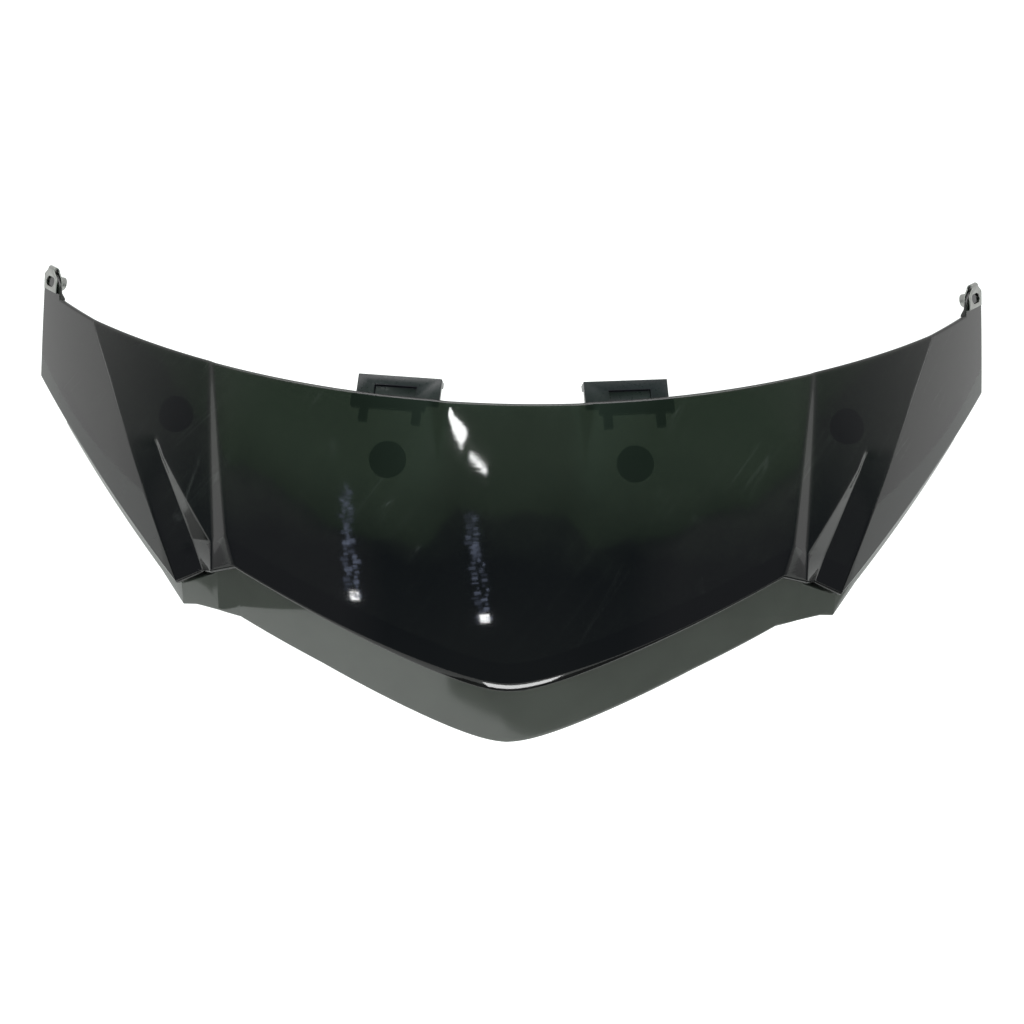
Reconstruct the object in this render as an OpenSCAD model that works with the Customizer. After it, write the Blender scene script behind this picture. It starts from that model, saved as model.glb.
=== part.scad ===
// Wrap-around smoked windshield screen for a light motorcycle or scooter cowl.
// Front faces -Y, +Z is up, millimetres. Heights named "_up" are measured from the prow,
// the lowest point of the screen's own V edge on the mirror plane.

/* [Screen outline] */
// Half of the width from ear to ear
half_width = 157; // [148:1:168]
// Radius of the wrap round the cowl, seen from above
wrap_radius = 200; // [185:1:260]
// Height of the screen at the middle, from the prow to the top edge
screen_height = 80.5; // [72:0.5:95]
// How much higher the top edge is at the ears than at the middle
top_rise = 9.5; // [2:0.5:14]
// Slope of the two arms of the V edge
prow_angle = 20.8; // [17:0.2:24]
// Rounding of the V edge at the prow
prow_round = 4.4; // [2:0.2:10]
// Rake of the screen at the prow, from the vertical
rake_low = 11.5; // [6:0.5:16]
// Rake of the screen at the top edge, from the vertical
rake_top = 35.5; // [26:0.5:42]
// Wall of the screen
screen_wall = 2.5; // [2:0.1:3.4]
// Sideways place of the lower corner, where the wing's lower edge starts to climb
corner_x = 104.4; // [100:0.1:112]
// Height of the lower corner
corner_up = 18.8; // [15:0.1:22]
// Height of the wing's lower edge at its rear end
wing_end_up = 63; // [58:0.5:70]

/* [Side relief] */
// Sideways place of the centre panel's edge at the top
edge_top_x = 94; // [84:0.5:98]
// Sideways place of the centre panel's edge at the ledge
edge_ledge_x = 88; // [78:0.5:90]
// Sideways place of the centre panel's edge at the V edge
edge_low_x = 85; // [76:0.5:87]
// Width of the wall beside the centre panel at the top
wall_top_w = 1.4; // [1:0.1:6]
// Width of the wall beside the centre panel at the V edge
wall_low_w = 7.4; // [6:0.1:8]
// Step from the centre panel back to the side panel at the top
side_step_top = 0.7; // [0.4:0.1:2.5]
// Step from the centre panel back to the side panel at the lower corner
side_step_low = 3.4; // [1:0.1:4.5]
// Depth of the groove between the side panel and the strip that climbs from it to the wing crease
recess_depth = 3.1; // [1.5:0.1:5]
// Share of that depth at the strip's upper end
recess_start = 0.35; // [0.1:0.05:0.6]
// Sideways place of the upper tip of the groove's inner wall
tip_x = 109.8; // [105:0.2:112]
// Height of the upper tip of the groove's inner wall
tip_up = 53.6; // [44:0.2:58]
// Height of the strip's upper end above that tip
strip_over = 7; // [4:0.5:12]
// Sideways place where the groove's line would meet the top edge
strip_top_x = 124.5; // [118:0.5:128]
// Width of the strip between the groove and the wing crease at its foot
strip_low_w = 8.4; // [7:0.1:9.5]
// Lean of the wing crease from the vertical
crease_lean = 24.4; // [20:0.2:26]
// How far the wing crease flicks outward at the top edge
crease_flick = 0.5; // [0:0.5:6]
// Extra slope of the outer wing behind its crease
wing_turn = 0.3; // [0.1:0.05:0.45]

/* [Brow] */
// Half width of the raised brow between the hook clips
brow_half = 22.6; // [16:0.2:26]
// Width of the brow's side ramp at the top edge
brow_ramp = 4.2; // [2:0.2:6]
// How far the brow stands proud at the top edge
brow_height = 0.9; // [0.6:0.1:2.4]
// Length over which the brow fades out downward
brow_length = 15; // [8:0.5:24]

/* [Ears] */
// Width of an ear along the wing
ear_width = 13; // [11:0.5:16]
// Height of an ear's tip above the top edge
ear_rise = 6.6; // [5:0.2:9]
// Height of an ear's shoulders above the top edge
ear_shoulder = 3.6; // [2:0.2:4.6]
// Wall of an ear, thinned from behind for the clip nut's leaf
ear_wall = 1.2; // [1:0.1:1.6]
// Radius of the clearance hole in an ear
ear_hole_r = 1.6; // [1.5:0.1:2]
// Height from the ear hole's centre to the ear's tip
ear_hole_drop = 3.4; // [3.2:0.1:4.2]

/* [Lower skirt] */
// Drop of the skirt below the prow
drop_centre = 20.8; // [14:0.1:24]
// Drop of the skirt below the centre panel's lower corner
drop_side = 18; // [12:0.1:20]
// Drop of the skirt below the screen's lower corner
drop_corner = 10.2; // [7:0.1:12]
// Drop of the lip below the wing's lower edge
drop_lip = 7; // [5:0.1:8.5]
// How far before the lower corner the skirt has come up to its corner drop
corner_before = 4.4; // [2:0.1:6]
// How far past the lower corner the lip begins
lip_after = 7.6; // [5:0.1:12]
// Lean of the skirt back under the screen, from the vertical
skirt_lean = 14; // [4:1:22]
// Lean of the triangular facet below the ends of the V edge, from the vertical
fold_lean = 3; // [0:0.5:8]
// Sideways place where the fold under that facet leaves the V edge
fold_x = 59; // [50:0.5:68]
// Wall of the skirt
skirt_wall = 2; // [1.6:0.1:2.6]
// Height of the skirt's ledge behind the screen's lower edge
ledge_h = 8; // [6:0.2:9]
// Height of the bonding strip on the ledge
tape_h = 4.8; // [3:0.2:5.6]
// Thickness of the bonding strip
tape_t = 0.6; // [0.4:0.1:1.2]
// Clearance on each face where pieces seat on one another
seat_gap = 0.1; // [0.05:0.05:0.2]

/* [Hook clips] */
// Sideways place of a hook clip's middle
clip_x = 36; // [32:0.5:50]
// Width of the hook clip's tab
clip_w = 26.4; // [22:0.2:30]
// Height of the tab above the screen's top edge
clip_rise = 7.2; // [6:0.2:10]
// Thickness of the tab
clip_t = 2; // [1.5:0.1:2.4]
// Width of the pocket in the tab's front
pocket_w = 13.2; // [8:0.2:16]
// Height of the pocket
pocket_h = 3.4; // [2.4:0.1:3.8]
// Depth of the pocket
pocket_depth = 1.2; // [0.8:0.1:1.2]
// How far the pocket sits from the tab's middle towards the wing
pocket_shift = 1; // [0:0.1:2]
// Height of the strip of tab between the screen's top edge and the pocket
sill_h = 0.6; // [0.4:0.1:1]
// Height of the hook's lip along the tab's top
hook_h = 2; // [1.4:0.1:2.4]
// Reach of the hook's lip behind the tab
hook_reach = 2.2; // [1:0.1:4]
// Height of the bar behind the screen's top edge
bar_h = 3.6; // [2.6:0.1:5]
// Thickness of the bar
bar_t = 2.6; // [2:0.1:3.4]
// Reach of the bar from the clip's middle towards the wing
bar_out = 14.4; // [12:0.1:16]
// Reach of the bar from the clip's middle towards the mirror plane
bar_in = 9; // [8:0.1:12]
// Width of a leg below the bar
leg_w = 2.6; // [2:0.1:3.2]
// Length of a leg below the bar
leg_len = 4.5; // [3:0.1:7]
// Place of the outer leg from the clip's middle
leg_out = 10; // [8:0.1:10.5]
// Place of the inner leg from the clip's middle
leg_in = 6.6; // [4:0.1:7]

/* [Buffers] */
// Radius of a rubber buffer
buffer_r = 5.7; // [5.2:0.1:7]
// Thickness of a rubber buffer
buffer_t = 4.5; // [3:0.1:6]
// Height of a buffer's straight rim
buffer_rim = 1.8; // [1:0.1:2.4]
// Radius of a buffer's rear face
buffer_face_r = 4.9; // [4:0.1:5.1]
// Radius of the dimple in a buffer's rear face
dimple_r = 1.6; // [1.2:0.1:2.4]
// Radius of the dimple's floor
dimple_floor_r = 1; // [0.6:0.1:1.1]
// Depth of the dimple
dimple_depth = 1; // [0.5:0.1:1.5]
// Sideways place of the upper buffers
upper_x = 38.5; // [30:0.5:55]
// Height of the upper buffers
upper_up = 64.3; // [56:0.1:66]
// Sideways place of the side buffers
side_x = 107.8; // [105:0.1:112]
// Height of the side buffers
side_up = 67.6; // [62:0.1:72]

/* [Clip nuts] */
// Radius of the thread's bore
thread_r = 1.25; // [1.2:0.05:1.4]
// Outer radius of the threaded barrel
barrel_r = 2.2; // [2:0.1:2.6]
// Length of the threaded barrel behind its leaf
barrel_len = 2.6; // [2:0.1:4]
// Thickness of the nut's spring strip
leaf_t = 0.5; // [0.4:0.1:0.8]
// Width of a leaf
leaf_w = 9; // [7.6:0.2:10]
// Width of the bend over the ear's tip
bend_w = 4; // [3:0.2:5]
// Height from the leaf's shoulders to the ear's tip
neck_drop = 2; // [1.4:0.1:2.4]
// Reach of a leaf below the ear hole's centre
leaf_len = 2.9; // [2.8:0.1:3.4]
// Clearance between a leaf and the ear
leaf_gap = 0.15; // [0.1:0.05:0.25]
// How far the outer leaf's slot reaches past the ear's hole to either side
slot_reach = 1.2; // [0.6:0.1:1.6]
// Clearance under the inner leaf in the ear's thinned back
leaf_play = 0.4; // [0.3:0.1:0.6]

/* [Hidden] */
$fn = 48;

// Half gap between two columns that run together where a relief line ends
seam = 0.3;
smoke = [0.13, 0.17, 0.14];
satin = [0.42, 0.43, 0.40];
tape_black = [0.05, 0.05, 0.05];
clip_black = [0.09, 0.08, 0.11];
rubber = [0.07, 0.08, 0.07];
zinc = [0.72, 0.73, 0.72];

function sq(v) = v * v;
function lerp(a, b, f) = a + (b - a) * f;
function flatten(rows) = [for (row = rows) each row];

// Smooth outer face: an arc in plan, plus a rake that grows with height
rake_gain = (tan(rake_top) - tan(rake_low)) / screen_height;
function wrap_y(x) = wrap_radius - sqrt(sq(wrap_radius) - sq(x));
function wrap_slope(x) = x / sqrt(sq(wrap_radius) - sq(x));
function rake_y(z) = tan(rake_low) * z + rake_gain * sq(z) / 2;
function rake_slope(z) = tan(rake_low) + rake_gain * z;
function out_normal(slope_x, slope_z) = let (v = [slope_x, -1, slope_z]) v / norm(v);

// Outline in front view
function top_z(x) = screen_height + top_rise * sq(x / half_width);
function prow_edge(x) = sqrt(sq(x * tan(prow_angle)) + sq(prow_round)) - prow_round;
function low_z(x) = let (a = abs(x))
    a <= edge_low_x ? prow_edge(a)
    : a <= corner_x ? lerp(prow_edge(edge_low_x), corner_up, (a - edge_low_x) / (corner_x - edge_low_x))
    : lerp(corner_up, wing_end_up, (a - corner_x) / (half_width - corner_x));

// Relief of the side panels, as a set-back behind the smooth face
function crease_x(z) = corner_x + (z - corner_up) * tan(crease_lean);
side_slope_z = (side_step_top - side_step_low) / (screen_height - corner_up);
function side_step(z) = side_step_low + side_slope_z * (z - corner_up);
function wing_back(x, z) = wing_turn * max(0, abs(x) - crease_x(z));
function side_back(x, z) = side_step(z) + wing_back(x, z);

// Stations down a column: 0 at the top edge, 1 at the ledge's top, 2 at the lower edge
function station_z(s, zt, zl) = s <= 1 ? lerp(zt, zl + ledge_h, s) : zl + ledge_h * (2 - s);
strip_low_x = corner_x - strip_low_w;
brow_s = brow_length / (screen_height - ledge_h);
strip_span = top_z(strip_top_x) - low_z(strip_low_x) - ledge_h;
tip_s = (top_z(strip_top_x) - tip_up) / strip_span;
// The strip's upper end: the groove drops to its starting depth between these two stations
strip_s = tip_s - strip_over / strip_span;
strip_full_s = strip_s + 0.03;
tape_s = (ledge_h - tape_h) / (2 * ledge_h);
stations = [0, brow_s, tip_s, 1, 2];
body_rows = [
    for (i = [0:2]) brow_s * i / 3,
    for (i = [0:1]) lerp(brow_s, strip_s, i / 2),
    strip_s,
    strip_full_s,
    for (i = [0:3]) lerp(tip_s, 1, i / 4),
];
ledge_rows = [1, 1 + tape_s, 1.5, 2 - tape_s, 2];
screen_rows = concat(body_rows, ledge_rows);
tape_rows = [1 + tape_s, 1.5, 2 - tape_s];

// Sideways place of each relief line at the five stations
ear_x = half_width - ear_width / norm([1, wrap_slope(half_width) + wing_turn]);
edge_line = [for (s = stations) s <= 1 ? lerp(edge_top_x, edge_ledge_x, s) : edge_low_x];
foot_line = [for (i = [0:4]) edge_line[i] + lerp(wall_top_w, wall_low_w, stations[i] / 2)];
mid_line = [0, 0, 0, 0, 0];
brow_in = [for (s = stations) brow_half - (s == 0 ? brow_ramp / 2 : seam)];
brow_out = [for (s = stations) brow_half + (s == 0 ? brow_ramp / 2 : seam)];
strip_foot = [strip_top_x, lerp(strip_top_x, tip_x, brow_s / tip_s), tip_x];
strip_ledge_x = lerp(strip_low_x, tip_x, ledge_h / (tip_up - low_z(strip_low_x)));
floor_out = concat(
    [for (x = strip_foot) x - seam],
    [for (i = [3, 4]) foot_line[i] + 2 * seam]
);
strip_in = concat([for (x = strip_foot) x + seam], [strip_ledge_x, strip_low_x]);
crease_top_z = top_z(crease_x(screen_height + top_rise));
crease_line = [
    for (s = stations) crease_x(station_z(s, crease_top_z, corner_up)) + (s == 0 ? crease_flick : 0)
];
ear_line = [for (s = stations) ear_x];
end_line = [for (s = stations) half_width];

// Columns of one half, from the mirror plane outward: line, kind of relief, height of the ear there
BROW = 0;
LENS = 1;
SIDE = 2;
STRIP = 3;
GROOVE = 4;
function ear_bump(f) = lerp(ear_rise, ear_shoulder, sq(2 * f - 1));
half_columns = concat(
    [
        [brow_in / 2, BROW, 0],
        [brow_in, BROW, 0],
        [brow_out, LENS, 0],
    ],
    [for (i = [1:4]) [lerp(brow_out, edge_line, i / 5), LENS, 0]],
    [
        [edge_line, LENS, 0],
        [foot_line, SIDE, 0],
        [lerp(foot_line, floor_out, 0.5), SIDE, 0],
        [floor_out, SIDE, 0],
        [strip_in, GROOVE, 0],
        [lerp(strip_in, crease_line, 0.5), STRIP, 0],
        [crease_line, SIDE, 0],
    ],
    [for (i = [1:3]) [lerp(crease_line, ear_line, i / 4), SIDE, 0]],
    [[ear_line, SIDE, 0]]
);
ear_columns = [for (f = [0.05, 0.28, 0.5, 0.72, 1]) [lerp(ear_line, end_line, f), SIDE, ear_bump(f)]];
function mirrored(columns) = [
    for (i = [len(columns) - 1:-1:0]) [-columns[i][0], columns[i][1], columns[i][2]]
];
mid_column = [[mid_line, BROW, 0]];
skirt_columns = concat(mirrored(half_columns), mid_column, half_columns);
screen_columns = concat(mirrored(ear_columns), skirt_columns, ear_columns);

// One point of a column at a station, sunk inward from the outer face
function column_x(column, s) = lookup(s, [for (i = [0:4]) [stations[i], column[0][i]]]);
function column_z(column, s) = station_z(s, top_z(column[0][0]) + column[2], low_z(column[0][4]));
function groove(s) = recess_depth * (
    s <= strip_full_s ? recess_start * max(0, (s - strip_s) / (strip_full_s - strip_s))
    : lerp(recess_start, 1, min(1, (s - strip_full_s) / (1 - strip_full_s)))
);
function recess(column, s) = column[1] == GROOVE ? groove(s) : column[1] == STRIP ? groove(s) / 2 : 0;
function relief(column, s, x, z) =
    column[1] == BROW ? -brow_height * max(0, 1 - s / brow_s)
    : column[1] == LENS ? 0
    : side_back(x, z) + recess(column, s);
function face_point(column, s, sunk, tilt = undef) = let (
        x = column_x(column, s),
        z = column_z(column, s),
        n = out_normal(wrap_slope(x), is_undef(tilt) ? rake_slope(z) : tilt)
    )
    [x, wrap_y(x) + rake_y(z) + relief(column, s, x, z), z] - n * sunk;
function layer(columns, rows, sunk) = [for (s = rows) [for (c = columns) face_point(c, s, sunk)]];

// Skirt: the ledge follows the back of the screen, then the band falls and leans back
ledge_sunk = screen_wall + tape_t + 2 * seat_gap;
function skirt_drop(x) = lookup(abs(x), [
    [0, drop_centre],
    [edge_low_x, drop_side],
    [corner_x - corner_before, drop_corner],
    [corner_x + lip_after, drop_lip],
]);
function skirt_tilt(z) = (rake_slope(z) - tan(skirt_lean)) / 2;
// The fold crosses the band from the V edge to the skirt's foot: its share of the drop at a place x
fold_out_x = foot_line[4];
function fold_share(x) = min(1, max(0, (abs(x) - fold_x) / (fold_out_x - fold_x)));
function fold_fade(x) = min(1, max(0, (corner_x - abs(x)) / (corner_x - fold_out_x)));
function fold_push(x, fall) =
    (tan(skirt_lean) - tan(fold_lean)) * skirt_drop(x) * min(fall, fold_share(x)) * fold_fade(x);
// Rows down the band, as shares of its drop; one of them meets the fold
function skirt_fall(x, row) = let (q = fold_share(x))
    row == 0 ? (q > 0.2 && q <= 0.55 ? q : 0.35)
    : row == 1 ? (q > 0.55 && q < 0.9 ? q : 0.7)
    : 1;
function skirt_point(column, row, sunk) = let (
        x = column_x(column, 2),
        fall = skirt_fall(x, row),
        edge = face_point(column, 2, ledge_sunk, skirt_tilt(column_z(column, 2))),
        drop = skirt_drop(x) * fall,
        ease = -recess(column, 2) * min(1, 2 * fall) - fold_push(x, fall),
        n = out_normal(wrap_slope(x), -tan(skirt_lean))
    )
    edge + [0, drop * tan(skirt_lean) + ease, -drop] - n * sunk;
function skirt_layer(columns, sunk) = concat(
    layer(columns, [for (s = ledge_rows) if (s < 2) s], ledge_sunk + sunk),
    [[for (c = columns) face_point(c, 2, ledge_sunk + sunk, skirt_tilt(column_z(c, 2)))]],
    [for (row = [0:2]) [for (c = columns) skirt_point(c, row, sunk)]]
);

// Closed shell between two layers of points, rows from the top down, columns from left to right
module shell(outer, inner) {
    m = len(outer);
    n = len(outer[0]);
    in = m * n;
    function at(r, c) = r * n + c;
    function quad(a, b, c, d) = [[a, b, c], [a, c, d]];
    function face(r, c) = let (tl = at(r, c), tr = tl + 1, bl = tl + n, br = bl + 1)
        c < (n - 1) / 2 ? quad(bl, tl, tr, br) : quad(tl, tr, br, bl);
    front = flatten([for (r = [0:m - 2]) for (c = [0:n - 2]) face(r, c)]);
    back = [for (f = front) [f[2] + in, f[1] + in, f[0] + in]];
    top = flatten([for (c = [0:n - 2]) quad(at(0, c + 1), at(0, c), at(0, c) + in, at(0, c + 1) + in)]);
    foot = flatten([
        for (c = [0:n - 2]) quad(at(m - 1, c), at(m - 1, c + 1), at(m - 1, c + 1) + in, at(m - 1, c) + in)
    ]);
    left = flatten([for (r = [0:m - 2]) quad(at(r, 0), at(r + 1, 0), at(r + 1, 0) + in, at(r, 0) + in)]);
    right = flatten([
        for (r = [0:m - 2]) quad(at(r + 1, n - 1), at(r, n - 1), at(r, n - 1) + in, at(r + 1, n - 1) + in)
    ]);
    polyhedron(concat(flatten(outer), flatten(inner)), concat(front, back, top, foot, left, right));
}

// Local frame on the outer face: X along the face, Y inward, Z up along the face
module on_face(x, z, back, extra_x, extra_z) {
    slope_x = wrap_slope(x) + sign(x) * extra_x;
    n = out_normal(slope_x, rake_slope(z) + extra_z);
    across = [1, slope_x, 0] / norm([1, slope_x]);
    up = cross(across, -n);
    p = [x, wrap_y(x) + rake_y(z) + back, z];
    multmatrix([
        [across.x, -n.x, up.x, p.x],
        [across.y, -n.y, up.y, p.y],
        [across.z, -n.z, up.z, p.z],
        [0, 0, 0, 1],
    ]) children();
}

// Ear hole: on the middle of the ear, a set height below its tip
hole_x = (ear_x + half_width) / 2;
hole_z = top_z(hole_x) + ear_rise - ear_hole_drop;
hole_back = side_back(hole_x, hole_z);
ear_turn_z = side_slope_z - wing_turn * tan(crease_lean);
module at_ear(side) {
    on_face(side * hole_x, hole_z, hole_back, wing_turn, ear_turn_z) children();
}
// Height of the ear's tip over the hole and sideways lean of the ear, both measured in the ear's face
ear_slope_x = wrap_slope(hole_x) + wing_turn;
ear_slope_z = rake_slope(hole_z) + ear_turn_z;
ear_lean = asin(ear_slope_x * ear_slope_z / (norm([1, ear_slope_x]) * norm([1, ear_slope_z])));
tip_over_hole = ear_hole_drop * norm([1, ear_slope_z]) * cos(ear_lean);

// Rear-most corner of the part: the end edge of an ear, where its thinned back meets the top
hole_point = [hole_x, wrap_y(hole_x) + rake_y(hole_z) + hole_back, hole_z];
function in_ear(p) = (hole_point - p) * out_normal(ear_slope_x, ear_slope_z);
ear_end = ear_columns[len(ear_columns) - 1];
end_out = face_point(ear_end, 0, 0);
end_in = face_point(ear_end, 0, screen_wall);
ear_rear = lerp(end_out.y, end_in.y, (ear_wall - in_ear(end_out)) / (in_ear(end_in) - in_ear(end_out)));

// The part's origin: middle of its depth, on its lowest edge
middle_y = ear_rear / 2;
bottom_z = skirt_point(mid_column[0], 2, 0).z;
module place() {
    translate([0, -middle_y, -bottom_z]) children();
}

module screen() {
    color(smoke) place() difference() {
        shell(layer(screen_columns, screen_rows, 0), layer(screen_columns, screen_rows, screen_wall));
        for (side = [-1, 1]) at_ear(side) {
            rotate([90, 0, 0]) cylinder(r = ear_hole_r, h = 6 * screen_wall, center = true);
            translate([-ear_width, ear_wall, -leaf_len - leaf_play])
                cube([2 * ear_width, 4 * screen_wall, 2 * ear_width]);
        }
    }
}

module lower_skirt() {
    color(satin) place() shell(skirt_layer(skirt_columns, 0), skirt_layer(skirt_columns, skirt_wall));
}

module skirt_tape(columns) {
    near = screen_wall + seat_gap;
    far = near + tape_t;
    color(tape_black) place() shell(layer(columns, tape_rows, near), layer(columns, tape_rows, far));
}
module left_skirt_tape() skirt_tape(mirrored(half_columns));
module right_skirt_tape() skirt_tape(half_columns);

// Hook clip: bar and legs behind the top edge, a tab with a pocket above it, a hook lip along the tab's top
module hook_clip(side) {
    seat = screen_wall + seat_gap + sq(bar_out) / (2 * wrap_radius) + rake_gain * sq(bar_h + leg_len) / 2;
    back = seat + clip_t;
    module block(x0, x1, y0, y1, z0, z1) {
        translate([min(side * x0, side * x1), y0, z0]) cube([abs(x1 - x0), y1 - y0, z1 - z0]);
    }
    color(clip_black) place() on_face(side * clip_x, top_z(clip_x), 0, 0, 0) {
        difference() {
            union() {
                block(-bar_in, bar_out, seat, seat + bar_t, -bar_h, seam);
                block(-clip_w / 2, clip_w / 2, seat, back, -bar_h / 2, clip_rise);
                block(-clip_w / 2, clip_w / 2, seat, back + hook_reach, clip_rise - hook_h, clip_rise);
                for (x = [-leg_in, leg_out])
                    block(x - leg_w / 2, x + leg_w / 2, seat, seat + bar_t, -bar_h - leg_len, -bar_h / 2);
            }
            block(
                pocket_shift - pocket_w / 2, pocket_shift + pocket_w / 2,
                0, seat + pocket_depth,
                sill_h, sill_h + pocket_h
            );
        }
    }
}
module left_hook_clip() hook_clip(-1);
module right_hook_clip() hook_clip(1);

// Rubber buffer: a disc with a tapered rim and a dimple in its rear face
module buffer(side, x, up, back, extra_z) {
    seat = screen_wall + seat_gap + sq(buffer_r) / wrap_radius;
    color(rubber) place() on_face(side * x, up, back, 0, extra_z) translate([0, seat, 0]) rotate([-90, 0, 0])
        rotate_extrude() polygon([
            [0, 0], [buffer_r, 0], [buffer_r, buffer_rim], [buffer_face_r, buffer_t],
            [dimple_r, buffer_t], [dimple_floor_r, buffer_t - dimple_depth], [0, buffer_t - dimple_depth],
        ]);
}
module left_upper_buffer() buffer(-1, upper_x, upper_up, 0, 0);
module right_upper_buffer() buffer(1, upper_x, upper_up, 0, 0);
module left_side_buffer() buffer(-1, side_x, side_up, side_back(side_x, side_up), side_slope_z);
module right_side_buffer() buffer(1, side_x, side_up, side_back(side_x, side_up), side_slope_z);

// Clip nut: a spring strip bent over the ear's tip, with a threaded barrel behind its inner leaf
module clip_nut(side) {
    bend_in = ear_wall / 2 + leaf_gap;
    neck_z = tip_over_hole - neck_drop;
    crown_z = tip_over_hole + 2 * bend_in;
    module tongue(r, foot) {
        translate([ear_wall / 2, tip_over_hole]) circle(r);
        translate([ear_wall / 2 - r, -foot]) square([2 * r, foot + tip_over_hole]);
    }
    module side_view() {
        difference() {
            tongue(bend_in + leaf_t, leaf_len);
            tongue(bend_in, 2 * leaf_len);
        }
    }
    // The strip's sides follow the sides of the leaning ear
    function leaned(x, z) = [x + side * z * tan(ear_lean), z];
    module front_view() {
        polygon([
            leaned(-leaf_w / 2, -leaf_len), leaned(leaf_w / 2, -leaf_len), leaned(leaf_w / 2, neck_z),
            leaned(bend_w / 2, tip_over_hole), leaned(bend_w / 2, crown_z),
            leaned(-bend_w / 2, crown_z), leaned(-bend_w / 2, tip_over_hole), leaned(-leaf_w / 2, neck_z),
        ]);
    }
    color(zinc) place() at_ear(side) difference() {
        union() {
            intersection() {
                rotate([90, 0, 90]) linear_extrude(2 * leaf_w, center = true) side_view();
                rotate([90, 0, 0]) linear_extrude(4 * screen_wall, center = true) front_view();
            }
            translate([0, ear_wall + leaf_gap, 0]) rotate([-90, 0, 0])
                cylinder(r = barrel_r, h = leaf_t + barrel_len);
        }
        for (x = [-slot_reach, slot_reach]) translate([x, 0, 0])
            rotate([90, 0, 0]) cylinder(r = ear_hole_r, h = 2 * screen_wall);
        translate([-slot_reach, -2 * screen_wall, -ear_hole_r])
            cube([2 * slot_reach, 2 * screen_wall, 2 * ear_hole_r]);
        rotate([-90, 0, 0]) cylinder(r = thread_r, h = 2 * (ear_wall + leaf_t + barrel_len));
    }
}
module left_clip_nut() clip_nut(-1);
module right_clip_nut() clip_nut(1);

screen();
lower_skirt();
left_skirt_tape();
right_skirt_tape();
left_hook_clip();
right_hook_clip();
left_upper_buffer();
right_upper_buffer();
left_side_buffer();
right_side_buffer();
left_clip_nut();
right_clip_nut();
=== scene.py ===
"""Smoked wrap-around windshield screen for a light motorcycle, dressed for rendering.

Every piece stands on the packed model's own frame, in metres: the front faces -Y and +Z is up.
"""
import math

import bpy
import numpy as np
from mathutils import Matrix, Vector


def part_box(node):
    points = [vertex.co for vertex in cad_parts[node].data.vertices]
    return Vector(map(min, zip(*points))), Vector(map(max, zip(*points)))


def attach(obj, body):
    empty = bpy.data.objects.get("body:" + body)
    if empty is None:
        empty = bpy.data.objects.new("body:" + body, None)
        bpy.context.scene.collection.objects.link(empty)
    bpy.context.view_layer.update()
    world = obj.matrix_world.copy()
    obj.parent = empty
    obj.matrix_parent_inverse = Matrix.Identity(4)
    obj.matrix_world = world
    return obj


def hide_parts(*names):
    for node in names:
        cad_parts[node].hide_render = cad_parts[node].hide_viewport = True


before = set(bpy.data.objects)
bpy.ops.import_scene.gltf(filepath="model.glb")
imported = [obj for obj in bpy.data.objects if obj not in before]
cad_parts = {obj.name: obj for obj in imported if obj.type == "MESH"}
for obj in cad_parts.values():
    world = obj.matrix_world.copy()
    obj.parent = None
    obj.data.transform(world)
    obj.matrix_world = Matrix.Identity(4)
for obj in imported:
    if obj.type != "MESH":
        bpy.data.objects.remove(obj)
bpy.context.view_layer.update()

bl_info = {
    "name": "Windshield Screen",
    "version": (1, 0, 0),
    "blender": (4, 5, 0),
    "location": "View3D > Sidebar > Screen",
    "description": "Builds a smoked windshield screen with its skirt, clips, buffers and nuts",
    "category": "Mesh",
}

MM = 0.001
BODY = "root"


# Sizes and colours

def length(name, description, mm):
    """A length property, given in millimetres and kept in metres."""
    return bpy.props.FloatProperty(
        name=name, description=description, default=mm * MM, unit="LENGTH", precision=5)


def angle(name, description, degrees):
    """An angle property, given in degrees and kept in radians."""
    return bpy.props.FloatProperty(
        name=name, description=description, default=math.radians(degrees), subtype="ANGLE")


def share(name, description, value):
    """A plain number from 0 to 1."""
    return bpy.props.FloatProperty(
        name=name, description=description, default=value, min=0, max=1, subtype="FACTOR")


def colour(name, description, rgb):
    """A colour property in linear light."""
    return bpy.props.FloatVectorProperty(
        name=name, description=description, default=rgb, size=3, min=0, max=1, subtype="COLOR")


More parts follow.
